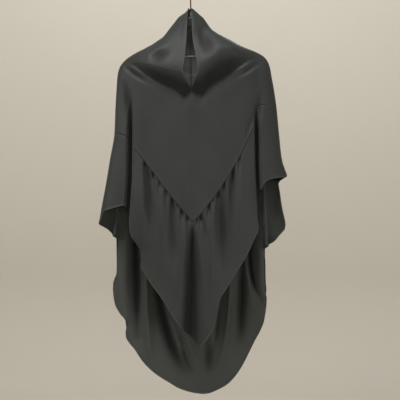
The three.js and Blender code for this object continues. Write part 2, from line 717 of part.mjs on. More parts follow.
// A line moved to its right by a distance.
function offsetLine(line, distance) {
  return line.map((point, i) => {
    const ahead = line[Math.min(i + 1, line.length - 1)];
    const behind = line[Math.max(i - 1, 0)];
    const along = ahead.clone().sub(behind).normalize();
    return point.clone().add(new THREE.Vector2(along.y, -along.x).multiplyScalar(distance));
  });
}

// One half of the hanger's outline, out along the top and back along the underside.
function hangerHalf(sign) {
  const top = armEdge();
  const neck = new THREE.Vector2(NECK_HALF_WIDTH, NECK_TOP);
  const slope = top[1].clone().sub(top[0]).normalize();
  const bend = top[0].clone().addScaledVector(slope, -NECK_FLARE * (top[0].x - neck.x));
  const flare = new THREE.QuadraticBezierCurve(neck, bend, top[0]).getPoints(FLARE_STEPS).slice(0, -1);
  const under = offsetLine(top, ARM_WIDTH).reverse();
  const crotch = new THREE.Vector2(0, NECK_TOP - NECK_LENGTH);
  return [...flare, ...top, ...under, crotch].map((point) => new THREE.Vector2(sign * point.x, point.y));
}

function barCylinder(clearance) {
  const radius = BAR_DIAMETER / 2 + clearance;
  const cylinder = new THREE.CylinderGeometry(radius, radius, 2 * (BAR_HALF_LENGTH + clearance), RING_SIDES);
  cylinder.rotateZ(Math.PI / 2);
  cylinder.translate(0, 0, BAR_HEIGHT);
  return cylinder;
}

// The neck and the two arms in one piece, with a blind bore at each end of the cross bar.
function hangerBody() {
  const shape = new THREE.Shape([...hangerHalf(1), ...hangerHalf(-1).slice(0, -1).reverse()]);
  const geometry = new THREE.ExtrudeGeometry(shape, {
    depth: HANGER_THICKNESS - 2 * HANGER_ROUNDING,
    bevelThickness: HANGER_ROUNDING,
    bevelSize: HANGER_ROUNDING,
    bevelOffset: -HANGER_ROUNDING,
    bevelSegments: BEVEL_STEPS,
  });
  geometry.translate(0, 0, HANGER_ROUNDING - HANGER_THICKNESS / 2);
  geometry.rotateX(Math.PI / 2);
  return geometryOf(solidOf(geometry).subtract(solidOf(barCylinder(GAP))));
}

// A turned collar with a blind bore for the hook's shank.
function hangerFerrule() {
  const bore = WIRE_DIAMETER / 2 + GAP;
  const outside = FERRULE_DIAMETER / 2;
  const seat = FERRULE_LENGTH - SHANK_SEAT - GAP;
  const profile = [
    [0, 0],
    [outside - FERRULE_CHAMFER, 0],
    [outside, FERRULE_CHAMFER],
    [outside, FERRULE_LENGTH - FERRULE_CHAMFER],
    [outside - FERRULE_CHAMFER, FERRULE_LENGTH],
    [bore, FERRULE_LENGTH],
    [bore, seat],
    [0, seat],
  ].map(([x, y]) => new THREE.Vector2(x, y));
  return new THREE.LatheGeometry(profile, RING_SIDES);
}

// The centre line of the hook: straight up, out to the right, over the top and down at the left.
function hookPath() {
  const bend = HOOK_RADIUS + WIRE_DIAMETER / 2;
  const centre = -HOOK_RADIUS;
  const foot = FERRULE_TOP - SHANK_SEAT;
  const turnIn = centre - SHANK_BEND * bend;
  const path = new THREE.CurvePath();
  const place = (x, z) => new THREE.Vector3(x, 0, z);
  path.add(new THREE.LineCurve3(place(0, foot), place(0, turnIn)));
  path.add(
    new THREE.CubicBezierCurve3(
      place(0, turnIn),
      place(0, turnIn + SHANK_EASE[0] * bend),
      place(bend, centre - SHANK_EASE[1] * bend),
      place(bend, centre),
    ),
  );
  const sweep = Math.PI + THREE.MathUtils.degToRad(HOOK_TIP_ANGLE);
  const arc = Array.from({ length: BEND_STEPS + 1 }, (_, i) => {
    const angle = (sweep * i) / BEND_STEPS;
    return place(bend * Math.cos(angle), centre + bend * Math.sin(angle));
  });
  arc.slice(1).forEach((point, i) => path.add(new THREE.LineCurve3(arc[i], point)));
  return path;
}

function hangerHook() {
  const section = new THREE.Shape();
  section.absarc(0, 0, WIRE_DIAMETER / 2, 0, 2 * Math.PI);
  return new THREE.ExtrudeGeometry(section, {
    steps: HOOK_STEPS,
    curveSegments: WIRE_SEGMENTS,
    extrudePath: hookPath(),
  });
}

// Finishes
const VEIL_CLOTH = new THREE.MeshStandardMaterial({ color: 0x40423e, roughness: 0.6, metalness: 0 });
const DARK_WOOD = new THREE.MeshStandardMaterial({ color: 0x17130f, roughness: 0.5, metalness: 0 });
const PALE_METAL = new THREE.MeshStandardMaterial({ color: 0xb3aca0, roughness: 0.35, metalness: 1 });
const BROWN_METAL = new THREE.MeshStandardMaterial({ color: 0x5a4636, roughness: 0.4, metalness: 1 });

function piece(name, geometry, material) {
  geometry.deleteAttribute("normal");
  geometry.deleteAttribute("uv");
  const merged = mergeVertices(geometry, 1e-3);
  merged.computeVertexNormals();
  const mesh = new THREE.Mesh(merged, material);
  mesh.name = name;
  return mesh;
}

function veil() {
  const group = new THREE.Group();
  group.add(piece("yoke_left", yoke(SIDES.left), VEIL_CLOTH.clone()));
  group.add(piece("yoke_right", yoke(SIDES.right), VEIL_CLOTH.clone()));
  group.add(piece("front_flounce", frontFlounce(), VEIL_CLOTH.clone()));
  group.add(piece("sleeve_flounce_left", sleeveFlounce(SIDES.left), VEIL_CLOTH.clone()));
  group.add(piece("sleeve_flounce_right", sleeveFlounce(SIDES.right), VEIL_CLOTH.clone()));
  group.add(piece("back_flounce", backFlounce(), VEIL_CLOTH.clone()));
  return group;
}

function hanger() {
  const group = new THREE.Group();
  group.add(piece("hanger_body", hangerBody(), DARK_WOOD));
  group.add(piece("hanger_bar", barCylinder(0), DARK_WOOD.clone()));
  const ferrule = piece("hanger_ferrule", hangerFerrule(), PALE_METAL);
  ferrule.rotation.x = Math.PI / 2;
  ferrule.position.z = FERRULE_TOP - FERRULE_LENGTH;
  group.add(ferrule);
  group.add(piece("hanger_hook", hangerHook(), BROWN_METAL));
  group.rotation.y = -TILT;
  return group;
}

const khimarOnHanger = new THREE.Group();
khimarOnHanger.add(veil());
khimarOnHanger.add(hanger());

export default khimarOnHanger;
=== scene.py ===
"""A khimar veil, a hooded two level cape in plain cloth, hanging from a plain clothes hanger.

Metres, +Z up. The face opening looks along -Y and +X is at the right of that view. The origin is
the inside top of the hanger's hook, where the hook rests on what carries it.
"""

import logging
import math
from collections.abc import Callable, Mapping
from dataclasses import dataclass, field
from enum import Enum

import bmesh
import bpy
import numpy as np
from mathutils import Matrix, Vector


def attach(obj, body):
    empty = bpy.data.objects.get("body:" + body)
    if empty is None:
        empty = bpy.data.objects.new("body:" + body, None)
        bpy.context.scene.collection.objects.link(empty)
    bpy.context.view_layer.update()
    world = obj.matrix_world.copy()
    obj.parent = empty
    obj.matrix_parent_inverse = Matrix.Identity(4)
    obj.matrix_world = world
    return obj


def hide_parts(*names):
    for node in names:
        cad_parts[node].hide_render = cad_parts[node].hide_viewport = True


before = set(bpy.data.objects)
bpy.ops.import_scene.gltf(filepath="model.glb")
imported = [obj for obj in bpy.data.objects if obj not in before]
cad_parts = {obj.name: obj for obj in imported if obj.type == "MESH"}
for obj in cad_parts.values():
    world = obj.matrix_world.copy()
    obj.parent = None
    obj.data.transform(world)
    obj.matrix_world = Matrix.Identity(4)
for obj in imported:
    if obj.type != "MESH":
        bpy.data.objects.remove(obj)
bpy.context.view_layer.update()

Array = np.ndarray
Curve = Callable[[Array], Array]
Link = bpy.types.NodeSocket
log = logging.getLogger("khimar")


@dataclass(frozen=True)
class Table:
    """Rows of chosen numbers under named columns.

    Attributes:
        names: The names of the columns, with spaces between them.
        rows: The numbers, a row for each place, fold or gather.
    """

    names: str
    rows: tuple[tuple[float, ...], ...]

    def column(self, name: str) -> Array:
        """One column as an array."""
        place = self.names.split().index(name)
        return np.array([row[place] for row in self.rows], float)

    def curve(self, across: str, up: str) -> Curve:
        """A smooth curve through two columns that never overshoots a row.

        Args:
            across: The column that grows from row to row.
            up: The column of values.

        Returns:
            A function from places to values, which works on arrays.
        """
        xs = self.column(across)
        ys = self.column(up)
        steps = np.diff(xs)
        slopes = np.diff(ys) / steps
        before = 2 * steps[1:] + steps[:-1]
        after = steps[1:] + 2 * steps[:-1]
        tangents = np.concatenate([slopes[:1], np.zeros(len(slopes) - 1), slopes[-1:]])
        for i in range(len(slopes) - 1):
            if slopes[i] * slopes[i + 1] > 0:
                spread = before[i] / slopes[i] + after[i] / slopes[i + 1]
                tangents[i + 1] = (before[i] + after[i]) / spread

        def value(at: Array) -> Array:
            """The curve's height.

            Args:
                at: Places across; those past an end get the end's value.

            Returns:
                The height at each place.
            """
            inside = np.clip(at, xs[0], xs[-1])
            i = np.clip(np.searchsorted(xs, inside) - 1, 0, len(steps) - 1)
            t = (inside - xs[i]) / steps[i]
            u = 1 - t
            ends = (1 + 2 * t) * u * u * ys[i] + t * t * (3 - 2 * t) * ys[i + 1]
            return ends + t * u * steps[i] * (u * tangents[i] - t * tangents[i + 1])

        return value


# Outline of the veil seen from the front: shares of the length down, of the half spread to each side.
OUTLINE = Table(
    "down left right",
    (
        (0.0, 0.02, 0.035),
        (0.008, 0.043, 0.071),
        (0.016, 0.091, 0.109),
        (0.023, 0.128, 0.143),
        (0.034, 0.163, 0.176),
        (0.052, 0.223, 0.232),
        (0.062, 0.255, 0.283),
        (0.073, 0.293, 0.359),
        (0.083, 0.348, 0.44),
        (0.094, 0.413, 0.527),
        (0.104, 0.489, 0.63),
        (0.114, 0.576, 0.734),
        (0.125, 0.658, 0.807),
        (0.138, 0.723, 0.848),
        (0.153, 0.766, 0.87),
        (0.174, 0.788, 0.886),
        (0.21, 0.799, 0.913),
        (0.255, 0.81, 0.94),
        (0.322, 0.821, 0.967),
        (0.392, 0.87, 1.0),
        (0.418, 0.888, 1.034),
        (0.434, 0.899, 1.055),
        (0.447, 0.908, 0.962),
        (0.474, 0.928, 0.98),
        (0.511, 0.958, 1.003),
        (0.544, 0.981, 1.034),
        (0.559, 0.993, 1.046),
        (0.574, 0.99, 1.036),
        (0.583, 0.985, 1.0),
        (0.6, 0.975, 0.945),
        (0.62, 0.97, 0.91),
        (1.02, 0.97, 0.91),
    ),
)

# Edges of the front and back panels, in the same shares.
PANEL_EDGES = Table(
    "down front_left front_right back_left back_right",
    (
        (0.0, 0.012, 0.028, 0.012, 0.028),
        (0.055, 0.174, 0.196, 0.174, 0.196),
        (0.094, 0.326, 0.424, 0.326, 0.424),
        (0.125, 0.511, 0.641, 0.511, 0.641),
        (0.174, 0.62, 0.696, 0.62, 0.707),
        (0.21, 0.624, 0.7, 0.642, 0.722),
        (0.262, 0.61, 0.69, 0.67, 0.745),
        (0.322, 0.604, 0.688, 0.707, 0.772),
        (0.392, 0.606, 0.691, 0.731, 0.782),
        (0.444, 0.61, 0.696, 0.748, 0.789),
        (0.496, 0.624, 0.706, 0.766, 0.797),
        (0.535, 0.636, 0.72, 0.779, 0.802),
        (0.553, 0.641, 0.736, 0.785, 0.804),
        (0.57, 0.636, 0.75, 0.796, 0.812),
        (0.59, 0.62, 0.75, 0.806, 0.817),
        (0.609, 0.566, 0.75, 0.806, 0.82),
        (0.623, 0.524, 0.75, 0.806, 0.822),
        (0.634, 0.515, 0.75, 0.806, 0.823),
        (0.647, 0.517, 0.75, 0.806, 0.824),
        (0.664, 0.53, 0.75, 0.806, 0.825),
        (0.69, 0.54, 0.75, 0.808, 0.826),
        (0.714, 0.54, 0.75, 0.847, 0.831),
        (0.73, 0.54, 0.75, 0.85, 0.836),
        (0.75, 0.54, 0.75, 0.84, 0.84),
        (0.769, 0.54, 0.75, 0.825, 0.84),
        (0.784, 0.54, 0.75, 0.8, 0.838),
        (0.796, 0.54, 0.75, 0.77, 0.836),
        (0.814, 0.54, 0.75, 0.705, 0.834),
        (0.833, 0.54, 0.75, 0.708, 0.832),
        (0.852, 0.54, 0.75, 0.719, 0.83),
        (1.02, 0.54, 0.75, 0.722, 0.82),
    ),
)

# Depth at the middle, as shares of the chest's and the back's depth, and how square the section is.
SECTIONS = Table(
    "down front front_square back back_square",
    (
        (0.0, 0.16, 2.0, 0.14, 2.0),
        (0.016, 0.34, 1.9, 0.37, 1.9),
        (0.034, 0.5, 1.75, 0.63, 1.8),
        (0.055, 0.67, 1.65, 0.85, 1.75),
        (0.081, 0.83, 1.6, 1.03, 1.7),
        (0.112, 0.96, 1.65, 1.1, 1.7),
        (0.138, 1.0, 1.8, 1.1, 1.8),
        (0.174, 1.0, 2.2, 1.03, 2.0),
        (0.221, 0.96, 2.4, 0.96, 2.2),
        (0.322, 1.04, 2.7, 0.93, 2.4),
        (0.553, 1.17, 3.0, 1.0, 2.6),
        (0.878, 1.25, 3.0, 1.15, 3.0),
        (1.02, 1.25, 3.0, 1.22, 3.0),
    ),
)

# The centre lines, which lean a little to the right, and the half widths of the face opening.
CENTRES = Table(
    "down front back",
    (
        (0.0, 0.005, 0.005),
        (0.01, 0.0, 0.0),
        (0.218, 0.011, 0.011),
        (0.535, 0.033, 0.022),
        (0.878, 0.109, 0.098),
        (1.02, 0.141, 0.141),
    ),
)
FACE_OPENING = Table(
    "down left right",
    (
        (0.0, 0.02, 0.013),
        (0.01, 0.026, 0.017),
        (0.073, 0.039, 0.028),
        (0.122, 0.057, 0.057),
        (0.148, 0.072, 0.074),
        (0.164, 0.085, 0.078),
        (0.182, 0.063, 0.059),
        (0.2, 0.032, 0.033),
        (0.218, 0.0, 0.0),
    ),
)

# The seam between yoke and flounces, and the hem, as shares of the length down.
SEAM = Table(
    "around left right",
    (
        (0, 0.553, 0.553),
        (0.1, 0.530, 0.532),
        (0.2, 0.507, 0.508),
        (0.4, 0.459, 0.454),
        (0.6, 0.409, 0.390),
        (0.75, 0.375, 0.330),
        (0.8, 0.364, 0.306),
        (0.84, 0.335, 0.255),
        (0.88, 0.329, 0.251),
        (0.95, 0.325, 0.252),
        (1, 0.322, 0.255),
        (1.06, 0.325, 0.260),
        (1.2, 0.343, 0.288),
        (1.4, 0.392, 0.361),
        (1.7, 0.470, 0.460),
        (2, 0.527, 0.527),
    ),
)
HEM_LEFT = Table(
    "around down",
    (
        (0.0, 0.873),
        (0.119, 0.845),
        (0.214, 0.827),
        (0.307, 0.804),
        (0.394, 0.777),
        (0.482, 0.749),
        (0.577, 0.725),
        (0.666, 0.702),
        (0.745, 0.678),
        (0.79, 0.667),
        (0.8, 0.658),
        (0.81, 0.585),
        (0.82, 0.535),
        (0.84, 0.509),
        (0.88, 0.512),
        (0.94, 0.519),
        (0.98, 0.525),
        (0.99, 0.538),
        (1.0, 0.558),
        (1.04, 0.565),
        (1.088, 0.572),
        (1.17, 0.59),
        (1.196, 0.596),
        (1.205, 0.85),
        (1.238, 0.869),
        (1.3, 0.888),
        (1.391, 0.922),
        (1.509, 0.952),
        (1.64, 0.975),
        (1.784, 0.996),
        (1.93, 1.006),
        (2.0, 1.008),
    ),
)
HEM_RIGHT = Table(
    "around down",
    (
        (0.0, 0.873),
        (0.132, 0.842),
        (0.183, 0.826),
        (0.228, 0.804),
        (0.257, 0.775),
        (0.291, 0.749),
        (0.367, 0.725),
        (0.452, 0.698),
        (0.536, 0.671),
        (0.623, 0.643),
        (0.68, 0.621),
        (0.738, 0.593),
        (0.785, 0.573),
        (0.797, 0.556),
        (0.805, 0.527),
        (0.825, 0.478),
        (0.84, 0.462),
        (0.87, 0.449),
        (0.93, 0.44),
        (0.99, 0.436),
        (1.0, 0.434),
        (1.004, 0.57),
        (1.012, 0.6),
        (1.135, 0.612),
        (1.18, 0.618),
        (1.198, 0.624),
        (1.205, 0.78),
        (1.212, 0.804),
        (1.247, 0.832),
        (1.33, 0.869),
        (1.399, 0.9),
        (1.491, 0.937),
        (1.583, 0.964),
        (1.677, 0.983),
        (1.789, 0.996),
        (1.941, 1.007),
        (2.0, 1.008),
    ),
)

# The cowl, where the hood's front sags over the chest: place across, its lowest rim, its foot, its height
# as a share of the cowl's roll, and how late its underside turns in.
COWL = Table(
    "across rim foot height turn",
    (
        (-0.784, 0.1377, 0.1390, 0.0, 1.2),
        (-0.675, 0.1390, 0.1429, 0.06, 1.1),
        (-0.610, 0.1390, 0.1506, 0.22, 1.05),
        (-0.566, 0.1403, 0.1584, 0.34, 1.0),
        (-0.523, 0.1429, 0.1662, 0.45, 1.0),
        (-0.479, 0.1455, 0.1740, 0.55, 1.0),
        (-0.435, 0.1481, 0.1805, 0.63, 1.0),
        (-0.348, 0.1545, 0.1935, 0.78, 1.0),
        (-0.261, 0.1610, 0.2039, 0.89, 1.05),
        (-0.174, 0.1662, 0.2130, 0.96, 1.15),
        (-0.120, 0.1688, 0.2221, 0.98, 1.2),
        (-0.065, 0.1714, 0.2351, 0.98, 1.25),
        (-0.022, 0.1740, 0.2273, 0.95, 1.25),
        (0.022, 0.1753, 0.2195, 0.92, 1.3),
        (0.065, 0.1714, 0.2273, 0.93, 1.3),
        (0.131, 0.1584, 0.2312, 0.95, 1.4),
        (0.174, 0.1481, 0.2156, 0.95, 1.5),
        (0.218, 0.1377, 0.2065, 0.94, 1.7),
        (0.283, 0.1247, 0.1974, 0.9, 1.9),
        (0.348, 0.1143, 0.1883, 0.83, 2.0),
        (0.435, 0.1117, 0.1740, 0.7, 1.8),
        (0.523, 0.1169, 0.1571, 0.45, 1.5),
        (0.610, 0.1247, 0.1390, 0.2, 1.2),
        (0.718, 0.1286, 0.1312, 0.0, 1.1),
    ),
)

# Folds and creases. Each runs along a curve through three places (x across, d down), with its half width
# (w) and height (h, outwards, share of the fold depth) along it. Skew widens its right side and narrows its
# left, a low crisp gives it a sharp crest, and a gathered fold belongs to a flounce alone.
FOLD_COLUMNS = "x1 d1 x2 d2 x3 d3 w1 w2 h1 h2 h3 skew crisp gathered"
FRONT_FOLDS = Table(
    FOLD_COLUMNS,
    (
        # Hood and chest
        (-0.457, 0.135, -0.327, 0.125, -0.185, 0.098, 0.06, 0.055, 0, -0.5, 0, 0, 2, 0),
        (-0.5, 0.137, -0.337, 0.106, -0.174, 0.07, 0.05, 0.05, 0, 0.22, 0, 0, 2, 0),
        (-0.74, 0.143, -0.61, 0.17, -0.414, 0.203, 0.018, 0.026, 0, -0.35, 0, 0, 1.6, 0),
        (-0.718, 0.135, -0.577, 0.161, -0.37, 0.2, 0.02, 0.024, 0, 0.2, 0, 0, 2, 0),
        (0.12, 0.03, 0.163, 0.091, 0.283, 0.138, 0.06, 0.08, 0, -0.42, 0, 0, 2, 0),
        (0.087, 0.03, 0.098, 0.086, 0.152, 0.148, 0.03, 0.04, 0, 0.12, 0, 0, 2, 0),
        (0.316, 0.081, 0.479, 0.104, 0.675, 0.125, 0.07, 0.06, 0, 0.45, 0, 0, 2, 0),
        (0.751, 0.13, 0.588, 0.153, 0.392, 0.182, 0.02, 0.024, 0, 0.22, 0, 0, 2, 0),
        (0.784, 0.135, 0.621, 0.164, 0.468, 0.184, 0.02, 0.024, 0, -0.25, 0, 0, 2, 0),
        (-0.718, 0.179, -0.675, 0.241, -0.642, 0.34, 0.03, 0.026, 0, -0.5, 0, 0, 2, 0),
        (0.784, 0.2, 0.751, 0.257, 0.735, 0.33, 0.03, 0.026, 0, -0.35, 0, 0, 2, 0),
        (0.729, 0.255, 0.653, 0.299, 0.577, 0.351, 0.026, 0.026, 0, -0.2, 0, 0, 2, 0),
        # Gathered flounce
        (-0.484, 0.392, -0.501, 0.496, -0.512, 0.72, 0.1, 0.11, 0.2, 0.75, 0, 0.35, 1.3, 1),
        (-0.468, 0.4, -0.446, 0.47, -0.38, 0.68, 0.024, 0.075, -0.7, -0.9, 0, 0.3, 1.5, 1),
        (-0.305, 0.457, -0.283, 0.574, -0.239, 0.743, 0.043, 0.076, 0.1, 0.3, 0, 0, 2, 1),
        (-0.185, 0.494, -0.185, 0.574, -0.152, 0.756, 0.026, 0.05, -0.35, -0.4, 0, 0, 1.6, 1),
        (-0.033, 0.538, -0.065, 0.626, -0.152, 0.84, 0.04, 0.07, 0.15, 0.4, 0, -0.3, 1.5, 1),
        (0.033, 0.551, 0.022, 0.665, 0.0, 0.89, 0.014, 0.08, -0.35, -1.3, -1.5, 0, 1.5, 1),
        (0.076, 0.553, 0.12, 0.652, 0.174, 0.87, 0.028, 0.055, 0.15, 0.4, 0, 0.2, 1.5, 1),
        (0.272, 0.47, 0.24, 0.6, 0.228, 0.82, 0.075, 0.08, 0.25, 0.6, 0, 0.35, 1.25, 1),
        (0.316, 0.46, 0.348, 0.561, 0.359, 0.74, 0.03, 0.085, -0.5, -0.75, 0, 0, 1.6, 1),
        (0.457, 0.405, 0.446, 0.496, 0.425, 0.69, 0.022, 0.05, -0.45, -0.4, 0, 0, 1.6, 1),
        (0.533, 0.379, 0.544, 0.496, 0.544, 0.68, 0.05, 0.07, 0.1, 0.35, 0, 0, 2, 1),
        (0.631, 0.335, 0.631, 0.47, 0.621, 0.63, 0.043, 0.065, 0, 0.2, 0, 0, 2, 1),
        (-0.588, 0.387, -0.577, 0.496, -0.566, 0.65, 0.05, 0.06, 0, 0.2, 0, 0, 2, 1),
        (0.114, 0.527, 0.152, 0.569, 0.185, 0.621, 0.017, 0.022, -0.4, -0.3, 0, 0, 1.6, 1),
    ),
)
BACK_FOLDS = Table(
    FOLD_COLUMNS,
    (
        # Inside of the cape
        (-0.74, 0.5, -0.74, 0.704, -0.729, 0.803, 0.075, 0.07, 0, -0.9, -0.5, 0, 3, 0),
        (-0.612, 0.5, -0.599, 0.691, -0.577, 0.855, 0.035, 0.045, 0, 1.5, 0.3, 0.1, 1.6, 0),
        (-0.482, 0.5, -0.474, 0.795, -0.414, 0.927, 0.04, 0.06, 0, -1.1, -0.2, 0, 1.6, 0),
        (-0.523, 0.5, -0.261, 0.834, 0.022, 0.958, 0.045, 0.055, 0, 1.1, 0, -0.2, 1.8, 0),
        (-0.294, 0.727, -0.163, 0.852, -0.022, 0.901, 0.024, 0.024, 0, -0.35, 0, 0, 2, 0),
        (-0.098, 0.774, 0.011, 0.891, 0.174, 0.953, 0.06, 0.05, 0, -0.85, 0, 0.2, 1.6, 0),
        (-0.152, 0.774, -0.065, 0.906, 0.076, 0.953, 0.026, 0.026, 0, 0.5, 0, 0, 2, 0),
        (0.174, 0.813, 0.207, 0.906, 0.174, 0.964, 0.045, 0.05, 0, 0.55, 0, 0, 2, 0),
        (0.465, 0.5, 0.414, 0.813, 0.272, 0.948, 0.038, 0.055, 0, -1.2, -0.1, 0, 1.6, 0),
        (0.337, 0.696, 0.316, 0.834, 0.218, 0.912, 0.03, 0.03, 0, 0.5, 0, 0, 1.6, 0),
        (0.58, 0.5, 0.566, 0.756, 0.533, 0.886, 0.045, 0.05, 0, 0.9, 0, 0, 1.6, 0),
        (0.65, 0.5, 0.642, 0.704, 0.74, 0.787, 0.04, 0.04, 0, -0.3, 0, 0, 2, 0),
        (0.71, 0.5, 0.675, 0.657, 0.784, 0.756, 0.026, 0.026, 0, 1.5, 0.2, -0.3, 1.5, 0),
        (0.824, 0.5, 0.784, 0.673, 0.849, 0.756, 0.06, 0.04, 0, -0.8, -0.2, -0.5, 2.6, 0),
        # Back of the hood
        (-0.52, 0.14, 0.0, 0.215, 0.6, 0.135, 0.06, 0.06, 0, 0.5, 0, 0, 2, 0),
        (-0.6, 0.175, 0.0, 0.275, 0.68, 0.17, 0.07, 0.07, 0, 0.4, 0, 0, 2, 0),
        (-0.42, 0.125, 0.0, 0.165, 0.46, 0.12, 0.05, 0.05, 0, -0.35, 0, 0, 2, 0),
    ),
)


def smooth(start: float | Array, end: float | Array, value: Array) -> Array:
    """A smooth step from 0 at start to 1 at end."""
    t = np.clip((value - start) / (end - start), 0, 1)
    return t * t * (3 - 2 * t)


def mix(a: float | Array, b: float | Array, t: float | Array) -> Array:
    """The value between a and b at the share t."""
    return a + (b - a) * t


def unit(vectors: Array) -> Array:
    """Vectors brought to length 1."""
    return vectors / np.maximum(np.linalg.norm(vectors, axis=-1, keepdims=True), 1e-12)


def bell(distance: Array, width: float | Array) -> Array:
    """A smooth bump that is 1 at distance 0 and fades over a width."""
    return np.exp(-((distance / width) ** 2))


@dataclass(frozen=True)
class Tuck:
    """A vertical tuck between a panel and the sleeve.

    Attributes:
        start: Share of the length down at which it starts.
        full: Share at which it has its full depth.
        open: Share of the half spread that it stands open.
    """

    start: float
    full: float
    open: float


@dataclass(frozen=True)
class Side:
    """One side of the veil, seen from the front, with its curves.

    Attributes:
        sign: -1 for the left side and 1 for the right side.
        outline: Place across of the outline, by share of the length down.
        front_edge: Place across of the front panel's edge, by share down.
        back_edge: Place across of the back panel's edge, by share down.
        opening: Half width of the face opening, by share down.
        seam: Share down of the seam under the yoke, by place round the veil.
        hem: Share down of the hem, by place round the veil.
        front_tuck: The tuck beside the front panel.
        back_tuck: The tuck beside the back panel.
    """

    sign: float
    outline: Curve
    front_edge: Curve
    back_edge: Curve
    opening: Curve
    seam: Curve
    hem: Curve
    front_tuck: Tuck
    back_tuck: Tuck

    @classmethod
    def named(cls, name: str, sign: float, hem: Table, front_tuck: Tuck, back_tuck: Tuck) -> "Side":
        """Reads a side from the tables.

        Args:
            name: The side's name in the tables' columns.
            sign: -1 for the left side and 1 for the right side.
            hem: The side's own table of its hem.
            front_tuck: The tuck beside the front panel.
            back_tuck: The tuck beside the back panel.

        Returns:
            The side.
        """
        return cls(
            sign=sign,
            outline=OUTLINE.curve("down", name),
            front_edge=PANEL_EDGES.curve("down", f"front_{name}"),
            back_edge=PANEL_EDGES.curve("down", f"back_{name}"),
            opening=FACE_OPENING.curve("down", name),
            seam=SEAM.curve("around", name),
            hem=hem.curve("around", "down"),
            front_tuck=front_tuck,
            back_tuck=back_tuck,
        )


LEFT = Side.named("left", -1.0, HEM_LEFT, Tuck(0.205, 0.33, 0.084), Tuck(0.366, 0.574, 0.04))
RIGHT = Side.named("right", 1.0, HEM_RIGHT, Tuck(0.235, 0.33, 0.08), Tuck(0.366, 0.574, 0.04))


@dataclass(frozen=True)
class Fold:
    """One fold, as a band along a curve through three places.

    Attributes:
        points: Points along the curve, across and up, in metres.
        widths: Half width at the start and at the end, in metres.
        heights: Height at the start, in the middle and at the end, in metres.
        skew: How much wider the right side is than the left side, as a share.
        crisp: Power of its section; a low one gives a sharp crest.
        gathered: Whether it belongs to a flounce alone.
    """

    points: Array
    widths: tuple[float, float]
    heights: tuple[float, float, float]
    skew: float
    crisp: float
    gathered: bool

    PIECES = 12
    REACH = 3.2

    def lift(self, x: Array, z: Array) -> Array:
        """How far the fold lifts the cloth.

        Args:
            x: Places across, in metres.
            z: Heights, in metres.

        Returns:
            The lifts, in metres.
        """
        lift = np.zeros_like(x)
        margin = self.REACH * max(self.widths) * (1 + abs(self.skew))
        low = self.points.min(axis=0) - margin
        high = self.points.max(axis=0) + margin
        near = (x > low[0]) & (x < high[0]) & (z > low[1]) & (z < high[1])
        if not near.any():
            return lift
        px = x[near]
        pz = z[near]
        nearest = np.full(px.shape, np.inf)
        along = np.zeros_like(px)
        right = np.zeros_like(px)
        for i, (start, end) in enumerate(zip(self.points[:-1], self.points[1:])):
            step = end - start
            reach = ((px - start[0]) * step[0] + (pz - start[1]) * step[1]) / (step @ step)
            t = np.clip(reach, 0, 1)
            off = (px - start[0] - t * step[0], pz - start[1] - t * step[1])
            distance = np.hypot(*off)
            closer = distance < nearest
            nearest = np.where(closer, distance, nearest)
            along = np.where(closer, (i + t) / self.PIECES, along)
            right = np.where(closer, np.sign(step[0] * off[1] - step[1] * off[0]), right)
        width = mix(self.widths[0], self.widths[1], along) * (1 + self.skew * right)
        first = mix(self.heights[0], self.heights[1], smooth(0, 0.5, along))
        second = mix(self.heights[1], self.heights[2], smooth(0.5, 1, along))
        high_at = np.where(along < 0.5, first, second)
        lift[near] = high_at * np.exp(-((nearest / width) ** self.crisp))
        return lift


@dataclass(frozen=True)
class Face:
    """The front or the back of the veil.

    Attributes:
        sign: -1 for the front and 1 for the back.
        size: Distance from the hanger's plane to the middle of the face, in metres.
        floor: How deep the bottom of a tuck lies, as a share of size.
        shade: How strongly its folds are shaded, from 0 to 1.
        depth: Depth at the middle as a share of size, by share of the length down.
        square: How square the section is, by share down.
        centre: Place across of the centre line, by share down.
        folds: The face's folds.
    """

    sign: float
    size: float
    floor: float
    shade: float
    depth: Curve
    square: Curve
    centre: Curve
    folds: tuple[Fold, ...]


Relief = Callable[[Side, Face, Array, Array, Array], Array]


